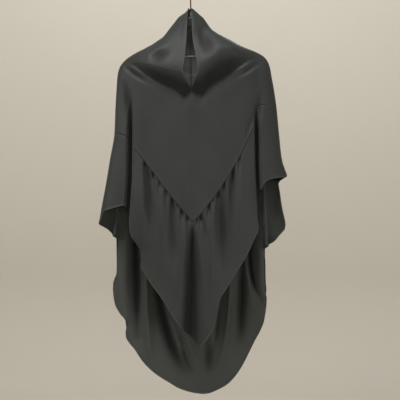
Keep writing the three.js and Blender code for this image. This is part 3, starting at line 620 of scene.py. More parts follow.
@dataclass
class VeilForm:
    """The surface that all the veil's cloth follows, from a few sizes and the tables.

    Places on it are given by around, from -2 over 0, the centre front, to 2, with the left side
    negative and 2 the centre back, and by down, a share of the veil's length. Lengths are in metres.

    Attributes:
        length: Length from the crown to the lowest point of the back hem.
        half_spread: Distance from the hook's line to a sleeve's hem.
        crown_drop: How far the crown lies below the origin.
        chest_depth: Distance from the hanger's plane to the middle of the chest.
        back_depth: Distance from the hanger's plane to the middle of the back.
        cowl_roll: How far the cowl stands out where it is fullest.
        fold_depth: The height that the folds' heights are shares of.
        lip: Place round the veil where a panel ends and its tuck starts.
        sleeve: Place round the veil where the tuck ends and the sleeve starts.
        tuck_middle: Place in the tuck where the flounces part.
        opening_end: Share down at which the face opening ends.
        opening_reach: How far round the opening pushes the cloth aside.
        opening_ease: Power with which that fades on the way round.
        cowl_rise: Share of the length over which the cowl rises to its rim.
        cowl_rise_power: Power of that rise.
        cowl_undercut: How far the cowl's foot is drawn in, as a share of its height.
        cowl_fade: Share of the length over which that ends below the foot.
        tuck_shut: Share of its width that a tuck has where it starts.
        tuck_opens_at: Width of a panel, in half spreads, that gives its tuck the full width.
        tuck_least: Least share of its width that a narrow panel leaves its tuck.
        tuck_wall: Share of a tuck on either side that is its sloping wall.
        sleeve_most: Farthest place where a sleeve starts, as a share of the outline.
        folds_fade: How far round from the outline the folds fade out.
        gather_start: Share of its height that a gathered fold has at the seam.
        gather_ease: Share of the length below the seam where it has its full height.
        crease_depth: Depth of a fold that is fully shaded.
        crease_power: Power with which shade grows with depth.
        cowl_shade: Shade under the cowl, from 0 to 1.
        cowl_shade_full: Place between rim and foot where that shade is full.
        cowl_shade_ends: Places between rim and foot where it starts to end and has ended.
        cowl_shade_gain: How quickly it grows with the cowl's height.
        inside_shade: Shade of folds sunk into the inside, from 0 to 1.
        front: The front of the veil.
        back: The back of the veil.
    """

    length: float = 1.136
    half_spread: float = 0.271
    crown_drop: float = 0.077
    chest_depth: float = 0.048
    back_depth: float = 0.054
    cowl_roll: float = 0.035
    fold_depth: float = 0.020
    lip: float = 0.8
    sleeve: float = 0.84
    tuck_middle: float = 0.82
    opening_end: float = 0.218
    opening_reach: float = 0.45
    opening_ease: float = 1.3
    cowl_rise: float = 0.109
    cowl_rise_power: float = 1.2
    cowl_undercut: float = 0.12
    cowl_fade: float = 0.036
    tuck_shut: float = 0.35
    tuck_opens_at: float = 0.54
    tuck_least: float = 0.05
    tuck_wall: float = 0.3
    sleeve_most: float = 0.97
    folds_fade: float = 0.08
    gather_start: float = 0.12
    gather_ease: float = 0.025
    crease_depth: float = 0.014
    crease_power: float = 1.2
    cowl_shade: float = 0.9
    cowl_shade_full: float = 0.55
    cowl_shade_ends: tuple[float, float] = (0.85, 1.12)
    cowl_shade_gain: float = 1.4
    inside_shade: float = 0.85
    front: Face = field(init=False)
    back: Face = field(init=False)

    def __post_init__(self) -> None:
        """Works out the faces and the cowl's curves from the tables."""
        self.front = Face(
            sign=-1.0,
            size=self.chest_depth,
            floor=0.04,
            shade=1.0,
            depth=SECTIONS.curve("down", "front"),
            square=SECTIONS.curve("down", "front_square"),
            centre=CENTRES.curve("down", "front"),
            folds=self._folds(FRONT_FOLDS),
        )
        self.back = Face(
            sign=1.0,
            size=self.back_depth,
            floor=0.2,
            shade=0.3,
            depth=SECTIONS.curve("down", "back"),
            square=SECTIONS.curve("down", "back_square"),
            centre=CENTRES.curve("down", "back"),
            folds=self._folds(BACK_FOLDS),
        )
        self.cowl_rim = COWL.curve("across", "rim")
        self.cowl_foot = COWL.curve("across", "foot")
        self.cowl_height = COWL.curve("across", "height")
        self.cowl_turn = COWL.curve("across", "turn")

    def height(self, down: float | Array) -> float | Array:
        """The height of a share of the length down."""
        return -self.crown_drop - down * self.length

    def _folds(self, table: Table) -> tuple[Fold, ...]:
        """The folds of a table, with their paths worked out as points."""
        return tuple(self._fold(row) for row in table.rows)

    def _fold(self, row: tuple[float, ...]) -> Fold:
        """Works out one fold.

        Args:
            row: A row of a table of folds, in the order of FOLD_COLUMNS.

        Returns:
            The fold, with its sizes in metres.
        """
        x1, d1, x2, d2, x3, d3, w1, w2, h1, h2, h3, skew, crisp, gathered = row
        start, through, end = (
            np.array([x * self.half_spread, self.height(d)]) for x, d in ((x1, d1), (x2, d2), (x3, d3))
        )
        pull = 2 * through - 0.5 * (start + end)
        t = np.linspace(0, 1, Fold.PIECES + 1)[:, None]
        points = (1 - t) ** 2 * start + 2 * t * (1 - t) * pull + t * t * end
        widths = (w1 * self.half_spread, w2 * self.half_spread)
        heights = (h1 * self.fold_depth, h2 * self.fold_depth, h3 * self.fold_depth)
        return Fold(points, widths, heights, skew, crisp, bool(gathered))

    def across(self, side: Side, face: Face, round_: Array, down: Array) -> Array:
        """Place across from the centre line to the side, over the panel, the tuck and the sleeve.

        Args:
            side: The side of the veil.
            face: Its front or its back.
            round_: Places round from the centre line, 0, to the outline, 1.
            down: Shares of the length down.

        Returns:
            The places across, in metres.
        """
        tuck = side.front_tuck if face is self.front else side.back_tuck
        opened = smooth(tuck.start, tuck.full, down)
        centre = side.sign * face.centre(down)
        outline = side.outline(down)
        panel = side.front_edge(down) if face is self.front else side.back_edge(down)
        narrowed = np.clip(panel / self.tuck_opens_at, self.tuck_least, 1)
        width = tuck.open * mix(self.tuck_shut, 1, opened) * narrowed
        sleeve = np.minimum(panel + width, outline * self.sleeve_most)
        on_panel = mix(centre, panel, round_ / self.lip)
        in_tuck = mix(panel, sleeve, (round_ - self.lip) / (self.sleeve - self.lip))
        on_sleeve = mix(sleeve, outline, (round_ - self.sleeve) / (1 - self.sleeve))
        across = np.where(round_ <= self.lip, on_panel, np.where(round_ <= self.sleeve, in_tuck, on_sleeve))
        if face is self.front:
            pushed = np.clip(1 - round_ / self.opening_reach, 0, 1) ** self.opening_ease
            across = across + np.where(down < self.opening_end, side.opening(down) * pushed, 0)
        return side.sign * across * self.half_spread

    def cowl_lift(self, x: Array, down: Array) -> Array:
        """How far the cowl stands out of the chest.

        Args:
            x: Places across, in metres.
            down: Shares of the length down.

        Returns:
            The distances, in metres.
        """
        across = x / self.half_spread
        rim = self.cowl_rim(across)
        foot = self.cowl_foot(across)
        high = self.cowl_height(across) * self.cowl_roll
        rise = smooth(rim - self.cowl_rise, rim, down) ** self.cowl_rise_power
        turn = np.clip((down - rim) / (foot - rim), 0, 1) ** self.cowl_turn(across)
        under = 1 - (1 + self.cowl_undercut) * turn
        below = -self.cowl_undercut * (1 - smooth(foot, foot + self.cowl_fade, down))
        return high * np.where(down < rim, rise, np.where(down < foot, under, below))

    def point(self, around: Array, down: Array, relief: Relief | None = None) -> Array:
        """Places on the middle of the cloth.

        Args:
            around: Places round the veil.
            down: Shares of the length down, of the same shape.
            relief: What a piece adds to the depth, such as gathers.

        Returns:
            The points, with x, y, z and the painted shade of the folds along the last axis: up to 1 for a
            fold sunk into the outside, down to -1 for one sunk into the inside.
        """
        wrapped = np.where(around > 2, around - 4, np.where(around < -2, around + 4, around))
        turn = np.abs(wrapped)
        points = np.zeros(around.shape + (4,))
        for side in (LEFT, RIGHT):
            for face in (self.front, self.back):
                on_side = (wrapped < 0) == (side.sign < 0)
                on_face = (turn <= 1) == (face is self.front)
                chosen = on_side & on_face
                if chosen.any():
                    points[chosen] = self._on(side, face, turn[chosen], down[chosen], relief)
        return points

    def _on(self, side: Side, face: Face, turn: Array, down: Array, relief: Relief | None) -> Array:
        """Places on one side of the front or the back.

        Args:
            side: The side of the veil.
            face: Its front or its back.
            turn: Places round the veil without their sign, from 0 to 2.
            down: Shares of the length down.
            relief: What a piece adds to the depth.

        Returns:
            The points, as point gives them.
        """
        round_ = np.where(turn <= 1, turn, 2 - turn)
        x = self.across(side, face, round_, down)
        z = self.height(down)
        square = face.square(down)
        belly = np.maximum(0, 1 - round_**square) ** (1 / square)
        depth = face.size * face.depth(down) * belly
        if face is self.front:
            depth = depth + self.cowl_lift(x, down)
        fade = smooth(0, self.folds_fade, 1 - round_)
        below = down - side.seam(turn)
        eased = mix(self.gather_start, 1, smooth(0, self.gather_ease, below)) * (below > 0)
        lifted = np.zeros_like(x)
        for fold in face.folds:
            lifted = lifted + fade * fold.lift(x, z) * (eased if fold.gathered else 1)
        depth = depth + lifted
        if relief is not None:
            depth = depth + fade * relief(side, face, x, down, turn)
        tuck = side.front_tuck if face is self.front else side.back_tuck
        opened = smooth(tuck.start, tuck.full, down)
        wall = self.tuck_wall * (self.sleeve - self.lip)
        inner = smooth(self.lip, self.lip + wall, round_)
        valley = inner * (1 - smooth(self.sleeve - wall, self.sleeve, round_))
        depth = mix(depth, face.size * face.floor, valley * opened)
        # Painted shade: tucks, sunk folds and the cowl's underside get a darker colour for the shade in
        # them, and folds that stand out get it on the inside.
        sunk = face.shade * np.clip(-lifted / self.crease_depth, 0, 1) ** self.crease_power
        raised_shade = np.clip(lifted / self.crease_depth, 0, 1)
        unshaded = (1 - valley * opened) * (1 - sunk) * (1 - self._cowl_shade(face, x, down))
        painted_light = 1 - unshaded - self.inside_shade * raised_shade
        return np.stack([x, face.sign * depth, z, painted_light], axis=-1)

    def _cowl_shade(self, face: Face, x: Array, down: Array) -> Array:
        """The painted shade under the cowl, where its underside is darkened in the cloth's colour.

        Args:
            face: The front or the back of the veil.
            x: Places across, in metres.
            down: Shares of the length down.

        Returns:
            The shade, from 0 to 1.
        """
        if face is not self.front:
            return np.zeros_like(x)
        across = x / self.half_spread
        rim = self.cowl_rim(across)
        foot = self.cowl_foot(across)
        under = (down - rim) / (foot - rim)
        band = smooth(0.0, self.cowl_shade_full, under) * (1 - smooth(*self.cowl_shade_ends, under))
        return self.cowl_shade * band * np.clip(self.cowl_height(across) * self.cowl_shade_gain, 0, 1)


@dataclass(frozen=True)
class Ripples:
    """Slight unevenness of hanging cloth, as a sum of long low waves.

    Attributes:
        height: The height of a wave, in metres.
        shortest: The shortest wave, in metres.
        longest: The longest wave, in metres.
        count: How many waves are added.
        lean: How far the waves lean on average, in radians.
        seed: The start of the random draws.
    """

    height: float = 0.0005
    shortest: float = 0.05
    longest: float = 0.16
    count: int = 9
    lean: float = 0.5
    seed: int = 5

    def at(self, x: Array, z: Array, along: float) -> Array:
        """The height of the waves at places across and up.

        Args:
            x: Places across.
            z: Heights.
            along: 1 for the front and -1 for the back, so that they differ.

        Returns:
            The heights, in metres.
        """
        draws = np.random.default_rng(self.seed)
        total = np.zeros_like(x)
        for _ in range(self.count):
            length = draws.uniform(self.shortest, self.longest)
            # Most waves run down the cloth, so they turn little from the vertical.
            lean = draws.normal(0.0, self.lean)
            phase = draws.uniform(0, math.tau)
            way = x * math.cos(lean) * along + z * math.sin(lean)
            total += np.sin(math.tau * way / length + phase)
        return total * self.height


# Gathers under the front seam that show most: place across, depth as a share of the named depth, half
# width as a share of the half spread, and how far down they reach as a share of the length.
GATHERS = Table(
    "across depth width reach",
    (
        (-0.484, 0.55, 0.012, 0.02),
        (-0.446, 0.25, 0.01, 0.012),
        (-0.397, 0.55, 0.014, 0.018),
        (-0.327, 0.3, 0.012, 0.02),
        (-0.256, 0.3, 0.014, 0.03),
        (-0.185, 0.6, 0.014, 0.02),
        (-0.136, 0.3, 0.012, 0.014),
        (-0.087, 0.6, 0.014, 0.018),
        (-0.027, 0.55, 0.013, 0.016),
        (0.076, 0.3, 0.011, 0.02),
        (0.114, 0.5, 0.014, 0.022),
        (0.207, 0.6, 0.014, 0.018),
        (0.25, 0.3, 0.012, 0.014),
        (0.299, 0.6, 0.014, 0.018),
        (0.365, 0.55, 0.014, 0.018),
        (0.463, 0.6, 0.013, 0.02),
        (0.533, 0.3, 0.012, 0.025),
    ),
)


@dataclass(frozen=True)
class Gathers:
    """The small gathers that a flounce has under its seam.

    Attributes:
        form: The veil's form.
        named: The gathers that are listed one by one.
        named_depth: Their full depth, in metres.
        spacing: Distance between the small gathers between them, in metres.
        depth: Their depth, in metres.
        width: Their half width, in metres.
        reach: How far down they reach, in metres.
        start: How far below the seam they start, in metres.
        seed: The start of the random draws.
    """

    form: VeilForm
    named: Table | None
    named_depth: float = 0.034
    spacing: float = 0.0085
    depth: float = 0.001
    width: float = 0.0024
    reach: float = 0.012
    start: float = 0.003
    seed: int = 3

    def rows(self) -> Array:
        """Lists all gathers, the small ones first.

        Returns:
            A row for each, of place across, depth, half width and reach, in metres.
        """
        spread = self.form.half_spread
        draws = np.random.default_rng(self.seed)
        places = np.arange(-0.74 * spread, 0.78 * spread, self.spacing)
        places = places + draws.uniform(-0.3, 0.3, len(places)) * self.spacing
        depths = self.depth * draws.uniform(0.5, 1.4, len(places))
        widths = self.width * draws.uniform(0.8, 1.25, len(places))
        reaches = self.reach * draws.uniform(0.6, 1.8, len(places))
        small = np.stack([places, depths, widths, reaches], axis=-1)
        if self.named is None:
            return small
        units = [spread, self.named_depth, spread, self.form.length]
        return np.concatenate([small, np.array(self.named.rows) * units])

    def lift(self, x: Array, below: Array) -> Array:
        """How far the gathers lift the cloth.

        Args:
            x: Places across.
            below: Distances below the seam, in metres.

        Returns:
            The lifts, in metres, mostly inwards.
        """
        total = np.zeros_like(x)
        for place, depth, width, reach in self.rows():
            near = np.abs(x - place) < 3 * width
            if near.any():
                under = np.maximum(below[near], 0)
                fade = np.exp(-under / reach) * (1 - np.exp(-under / self.start))
                spread = width * (1 + 0.5 * np.clip(below[near] / reach, 0, 2))
                total[near] -= depth * fade * bell(x[near] - place, spread)
        return total


class Turn(Enum):
    """How an edge of the cloth is finished."""

    NONE = "cut"
    SEAM = "seam"
    HEM = "hem"
    FACING = "facing"


@dataclass(frozen=True)
class TurnSizes:
    """The sizes of a turned edge.

    Attributes:
        radius: Radius of its roll, in metres.
        rows: How many rows run back inside the cloth.
    """

    radius: float
    rows: int


TURNS: Mapping[Turn, TurnSizes] = {
    Turn.SEAM: TurnSizes(0.0006, 1),
    Turn.HEM: TurnSizes(0.0009, 3),
    Turn.FACING: TurnSizes(0.0009, 5),
}
TURN_STEPS = 6


def turned_edge(points: Array, turn: Turn) -> Array:
    """Rolls the last row of a grid of points inwards and runs it back inside the cloth.

    Args:
        points: Rows and columns of points, whose last row is the edge. Going along a row and then
            to the next turns clockwise as seen from outside.
        turn: How the edge is finished.

    Returns:
        The grid with the rows of the turned edge added.
    """
    if turn is Turn.NONE:
        return points
    sizes = TURNS[turn]
    out = normals_of(points)
    along = unit(points[-1] - points[-2])
    middle = points[-1] - out[-1] * sizes.radius
    rows = []
    for angle in np.linspace(0, math.pi, TURN_STEPS + 1)[1:]:
        rows.append(middle + sizes.radius * (math.sin(angle) * along + math.cos(angle) * out[-1]))
    for back in range(2, 2 + sizes.rows):
        rows.append(points[-back] - 2 * sizes.radius * out[-back])
    return np.concatenate([points, np.array(rows)])


def normals_of(points: Array) -> Array:
    """The directions out of a grid of points.

    Args:
        points: Rows and columns of points.

    Returns:
        A direction of length 1 for each point.
    """
    down = np.gradient(points, axis=0)
    along = np.gradient(points, axis=1)
    return unit(np.cross(down, along))


@dataclass(frozen=True)
class Edges:
    """How the four edges of a panel are finished.

    Attributes:
        first: The first column's edge.
        last: The last column's edge.
        top: The top row's edge.
        bottom: The bottom row's edge.
    """

    first: Turn
    last: Turn
    top: Turn
    bottom: Turn


def finished_grid(points: Array, edges: Edges) -> Array:
    """Adds the turned edges all round a grid of points.

    Args:
        points: Rows and columns of points.
        edges: How the four edges are finished.

    Returns:
        The grid with its turned edges.
    """
    grid = turned_edge(points, edges.bottom)
    grid = turned_edge(grid[::-1, ::-1], edges.top)[::-1, ::-1]
    across = np.swapaxes(grid, 0, 1)
    # A swapped grid is seen from inside, so its rows run the other way before an edge is turned.
    across = turned_edge(across[:, ::-1], edges.last)[:, ::-1]
    across = turned_edge(across[::-1], edges.first)[::-1]
    return np.swapaxes(across, 0, 1)


def link_object(name: str, mesh: bmesh.types.BMesh) -> bpy.types.Object:
    """Makes a smooth shaded object of a mesh and frees the mesh.

    Args:
        name: The object's name.
        mesh: The mesh, which can't be used afterwards.

    Returns:
        The object, linked to the scene.
    """
    data = bpy.data.meshes.new(name)
    mesh.to_mesh(data)
    mesh.free()
    piece = bpy.data.objects.new(name, data)
    bpy.context.scene.collection.objects.link(piece)
    data.polygons.foreach_set("use_smooth", [True] * len(data.polygons))
    return piece


def cloth_sheet(name: str, points: Array, flat: Array, painted_light: Array, thickness: float) -> bpy.types.Object:
    """Makes a sheet of cloth through a grid of points.

    Args:
        name: The piece's name.
        points: Rows from the top down and columns in growing order round the veil.
        flat: For each point, its place on the flat cloth in metres, for the UV map.
        painted_light: For each point, its painted shade in a fold and its painted highlight at a turned
            edge, for the second map.
        thickness: Thickness of the cloth.

    Returns:
        The sheet, with its thickness as a live modifier.
    """
    rows, columns = points.shape[:2]
    mesh = bmesh.new()
    uv = mesh.loops.layers.uv.new("flat")
    # The second map carries the painted shade of folds (U) and the painted highlight of turned edges (V).
    second = mesh.loops.layers.uv.new("painted_light")
    bmesh.ops.create_grid(mesh, x_segments=columns - 1, y_segments=rows - 1, size=0.5)
    places = np.array([vert.co for vert in mesh.verts])
    column = np.rint((places[:, 0] + 0.5) * (columns - 1)).astype(int)
    row = np.rint((0.5 - places[:, 1]) * (rows - 1)).astype(int)
    for vert, place in zip(mesh.verts, points[row, column]):
        vert.co = place
    cut = flat[row, column]
    lies = painted_light[row, column]
    for face in mesh.faces:
        for loop in face.loops:
            loop[uv].uv = cut[loop.vert.index]
            loop[second].uv = lies[loop.vert.index]
    piece = link_object(name, mesh)
    wall = piece.modifiers.new("thickness", "SOLIDIFY")
    wall.thickness = thickness
    wall.offset = 0
    wall.material_offset = 1
    return piece


class Signal:
    """A shader socket that takes part in Python expressions."""

    def __init__(self, tree: "ShaderTree", socket: Link) -> None:
        """Wraps a socket of a tree."""
        self.tree = tree
        self.socket = socket

    def _with(self, operation: str, first: "Signal | float", second: "Signal | float") -> "Signal":
        """A Math node on two values."""
        return self.tree.add("ShaderNodeMath", {"operation": operation}, {0: first, 1: second})

    def __add__(self, other: "Signal | float") -> "Signal":
        """The sum."""
        return self._with("ADD", self, other)

    def __mul__(self, other: "Signal | float") -> "Signal":
        """The product."""
        return self._with("MULTIPLY", self, other)

    def at_least(self, low: float) -> "Signal":
        """The value, but never below a lowest one."""
        return self._with("MAXIMUM", self, low)

    def ramp(self, low: float, high: float) -> "Signal":
        """A smooth step from 0 at low to 1 at high."""
        settings = {"interpolation_type": "SMOOTHSTEP"}
        inputs = {"Value": self, "From Min": low, "From Max": high}
        return self.tree.add("ShaderNodeMapRange", settings, inputs)


Setting = str | bool | int | float
Input = Signal | float | tuple[float, ...]


class ShaderTree:
    """The nodes of one material."""

    def __init__(self, name: str) -> None:
        """Starts a material with a single surface shader.

        Args:
            name: The material's name.
        """
        self.material = bpy.data.materials.new(name)
        self.material.use_nodes = True
        self.nodes = self.material.node_tree.nodes
        self.links = self.material.node_tree.links
        self.surface = self.nodes["Principled BSDF"]

    def add(
        self,
        kind: str,
        settings: Mapping[str, Setting] | None = None,
        inputs: Mapping[str | int, Input] | None = None,
        output: str | int = 0,
    ) -> Signal:
        """Adds a node.

        Args:
            kind: The node's type.
            settings: Its settings, which are set first.
            inputs: The values or links of its sockets, by name or place.
            output: The output that is returned.

        Returns:
            The output as a signal.
        """
        node = self.nodes.new(kind)
        for name, value in (settings or {}).items():
            setattr(node, name, value)
        for place, value in (inputs or {}).items():
            self._feed(node.inputs[place], value)
        return Signal(self, node.outputs[output])

    def _feed(self, socket: Link, value: Input) -> None:
        """Links a signal to a socket, or sets its value.

        Args:
            socket: The socket.
            value: The signal or the value.
        """
        if isinstance(value, Signal):
            self.links.new(value.socket, socket)
        else:
            socket.default_value = value

    def set(self, **inputs: Input) -> None:
        """Sets sockets of the surface shader; an underscore in a name stands for a space."""
        for name, value in inputs.items():
            self._feed(self.surface.inputs[name.replace("_", " ")], value)

    def place(self) -> Signal:
        """Places in the object's own metres."""
        return self.add("ShaderNodeTexCoord", output="Object")

    def cut(self) -> Signal:
        """Places on the flat cloth, in metres."""
        return self.add("ShaderNodeUVMap", {"uv_map": "flat"})

    def painted_light(self, part: str) -> Signal:
        """The painted shade of folds (X, below 0 on the inside) or the painted highlight at a turned edge
        (Y).
        """
        painted_light = self.add("ShaderNodeUVMap", {"uv_map": "painted_light"})
        return self.add("ShaderNodeSeparateXYZ", {}, {0: painted_light}, output=part)

    def stretched(self, place: Signal, scale: tuple[float, float, float]) -> Signal:
        """Places multiplied by a scale along each axis."""
        return self.add("ShaderNodeMapping", {}, {"Vector": place, "Scale": scale})

    def noise(self, place: Signal, scale: float, detail: float) -> Signal:
        """A smooth random value between 0 and 1."""
        return self.add("ShaderNodeTexNoise", {}, {"Vector": place, "Scale": scale, "Detail": detail})

    def between(self, share: Signal, low: tuple[float, ...], high: tuple[float, ...]) -> Signal:
        """A colour between two."""
        settings = {"data_type": "RGBA"}
        return self.add("ShaderNodeMix", settings, {0: share, 6: (*low, 1.0), 7: (*high, 1.0)}, output=2)

    def mixed(self, share: Signal, low: Signal, high: tuple[float, ...]) -> Signal:
        """A colour between one that varies and a plain one."""
        settings = {"data_type": "RGBA"}
        return self.add("ShaderNodeMix", settings, {0: share, 6: low, 7: (*high, 1.0)}, output=2)

    def bump(self, height: Signal, distance: float) -> Signal:
        """A normal that follows a height."""
        return self.add("ShaderNodeBump", {}, {"Height": height, "Distance": distance, "Strength": 1.0})


Colour = tuple[float, float, float]
Place = tuple[float, float, float]


@dataclass(frozen=True)
class ClothFinish:
    """Smooth satin-matt woven cloth with a fine crepe grain.

    Attributes:
        name: The material's name.
        dark: Colour of the cloth where it is darkest.
        light: Colour where it is lightest.
        edge: Painted highlight, the colour of a turned edge where light would catch it.
        painted_shade_colour: Painted shade, the colour deep in a fold where shade falls.
        painted_shade_share: How far the colour goes towards that painted shade.
        facing: 1 for the outside of the cloth and -1 for the inside.
        roughness: Middle value of the roughness.
        grain: Size of a grain of the crepe, in metres.
        thread: Distance between two threads of the weave, in metres.
        relief: Height of the grain, in metres.
        clouds: Scale of the slow changes of tone, per metre.
        streaks: Scale of the streaks along the cloth, per metre.
    """

    name: str = "veil_cloth"
    dark: Colour = (0.028, 0.031, 0.0285)
    light: Colour = (0.038, 0.042, 0.038)
    edge: Colour = (0.075, 0.08, 0.072)
    painted_shade_colour: Colour = (0.0035, 0.004, 0.004)
    painted_shade_share: float = 0.94
    facing: float = 1.0
    roughness: float = 0.55
    grain: float = 0.0012
    thread: float = 0.0009
    relief: float = 0.00008
    clouds: float = 9.0
    streaks: float = 420.0

    def material(self) -> bpy.types.Material:
        """Builds the cloth's material.

        Returns:
            The material.
        """
        tree = ShaderTree(self.name)
        cut = tree.cut()
        cloud = tree.noise(tree.stretched(tree.place(), (1.0, 1.0, 0.35)), self.clouds, 3.0)
        streak = tree.noise(tree.stretched(cut, (1.0, 0.02, 1.0)), self.streaks, 2.0)
        grain = tree.noise(cut, 1 / self.grain, 2.0)
        tone = cloud.ramp(0.3, 0.7) * 0.55 + streak * 0.3 + grain * 0.15
        warp = self._threads(tree, cut, "X")
        weft = self._threads(tree, cut, "Y")
        weave = warp * 0.3 + weft * 0.3 + grain * 0.6
        # Painted shade: the colour darkens deep in folds, tucks and under the cowl.
        deep = (tree.painted_light("X") * self.facing).at_least(0.0) * self.painted_shade_share
        plain = tree.between(tone, self.dark, self.light)
        # Painted highlight: the colour lightens along turned edges.
        turned = tree.mixed(tree.painted_light("Y"), plain, self.edge)
        tree.set(
            Base_Color=tree.mixed(deep, turned, self.painted_shade_colour),
            Roughness=cloud * 0.1 + grain * 0.06 + deep * 0.3 + (self.roughness - 0.08),
            Normal=tree.bump(weave, self.relief),
            Sheen_Weight=0.12,
            Sheen_Roughness=0.45,
        )
        tree.surface.inputs["Specular IOR Level"].default_value = 0.42
        return tree.material

    def _threads(self, tree: ShaderTree, cut: Signal, along: str) -> Signal:
        """Fine parallel threads across one axis of the flat cloth.

        Args:
            tree: The material's nodes.
            cut: Places on the flat cloth.
            along: The axis that the threads lie across.

        Returns:
            The height of the threads, from 0 to 1.
        """
        settings = {"wave_type": "BANDS", "bands_direction": along, "wave_profile": "SIN"}
        # A wave texture has one band in 2 * pi / 20 of its scale.
        scale = math.tau / 20 / self.thread
        return tree.add("ShaderNodeTexWave", settings, {"Vector": cut, "Scale": scale, "Distortion": 0.6})


RIGHT_SIDE = ClothFinish()
# The inside is lighter than the outside partly as the cloth's own wrong side and partly as painted light,
# standing in for the light that the thin cloth lets through.
WRONG_SIDE_PAINTED_LIGHTER = ClothFinish(
    "veil_cloth_inside",
    dark=(0.05, 0.055, 0.049),
    light=(0.066, 0.072, 0.064),
    roughness=0.65,
    facing=-1.0,
)


@dataclass(frozen=True)
class WoodFinish:
    """Dark stained and lacquered wood with a long grain.

    Attributes:
        dark: Colour of the late wood.
        light: Colour of the early wood.
        roughness: Middle value of the roughness.
    """

    dark: Colour = (0.006, 0.0045, 0.004)
    light: Colour = (0.03, 0.019, 0.012)
    roughness: float = 0.42

    def material(self) -> bpy.types.Material:
        """Builds the wood's material.

        Returns:
            The material.
        """
        tree = ShaderTree("hanger_wood")
        place = tree.place()
        rings = tree.noise(tree.stretched(place, (1.0, 14.0, 14.0)), 22.0, 4.0)
        pores = tree.noise(tree.stretched(place, (1.0, 30.0, 30.0)), 90.0, 2.0)
        grain = rings.ramp(0.35, 0.65) * 0.7 + pores * 0.3
        tree.set(
            Base_Color=tree.between(grain, self.dark, self.light),
            Roughness=pores * 0.12 + (self.roughness - 0.06),
            Normal=tree.bump(pores.ramp(0.35, 0.6), 0.00012),
            Coat_Weight=0.25,
            Coat_Roughness=0.3,
        )
        return tree.material


@dataclass(frozen=True)
class MetalFinish:
    """Metal with fine tool marks.

    Attributes:
        name: The material's name.
        dark: Colour in the marks and where it is tarnished.
        light: Colour of the clean metal.
        roughness: Middle value of the roughness.
        metallic: How metallic the surface is.
        marks: Scale of the tool marks along each axis, per metre.
    """

    name: str
    dark: Colour
    light: Colour
    roughness: float
    metallic: float
    marks: tuple[float, float, float]

    def material(self) -> bpy.types.Material:
        """Builds the metal's material.

        Returns:
            The material.
        """
        tree = ShaderTree(self.name)
        place = tree.place()
        marks = tree.noise(tree.stretched(place, self.marks), 1.0, 3.0)
        stain = tree.noise(place, 160.0, 3.0)
        tone = stain.ramp(0.3, 0.62) * 0.7 + marks * 0.3
        tree.set(
            Base_Color=tree.between(tone, self.dark, self.light),
            Metallic=self.metallic,
            Roughness=marks * 0.16 + stain * 0.1 + (self.roughness - 0.13),
            Normal=tree.bump(marks, 0.00004),
        )
        return tree.material


PALE_METAL = MetalFinish(
    "ferrule_metal",
    dark=(0.36, 0.33, 0.29),
    light=(0.68, 0.64, 0.57),
    roughness=0.36,
    metallic=1.0,
    marks=(40.0, 40.0, 2600.0),
)
BROWN_METAL = MetalFinish(
    "hook_metal",
    dark=(0.045, 0.028, 0.018),
    light=(0.17, 0.105, 0.065),
    roughness=0.38,
    metallic=0.75,
    marks=(300.0, 300.0, 60.0),
)


@dataclass(frozen=True)
class StageFinish:
    """Plain pale matt paint for the studio.

    Attributes:
        colour: The paint's colour.
        shade: Its colour where it is a little darker.
    """

    colour: Colour = (0.60, 0.56, 0.485)
    shade: Colour = (0.56, 0.52, 0.445)

    def material(self) -> bpy.types.Material:
        """Builds the paint's material.

        Returns:
            The material.
        """
        tree = ShaderTree("studio_paint")
        patch = tree.noise(tree.place(), 0.8, 2.0)
        tree.set(Base_Color=tree.between(patch, self.shade, self.colour), Roughness=0.9)
        return tree.material


@dataclass
class Steps:
    """How finely the cloth is divided.

    Attributes:
        front: Columns of half the front panel.
        back: Columns of half the back panel.
        tuck: Columns of a tuck.
        sleeve: Columns of half a sleeve.
        rows: Rows from the top to the lower edge.
        steep: Longest drop of the lower edge from one column to the next, in metres.
    """

    front: int
    back: int
    tuck: int
    sleeve: int
    rows: int
    steep: float = 0.012


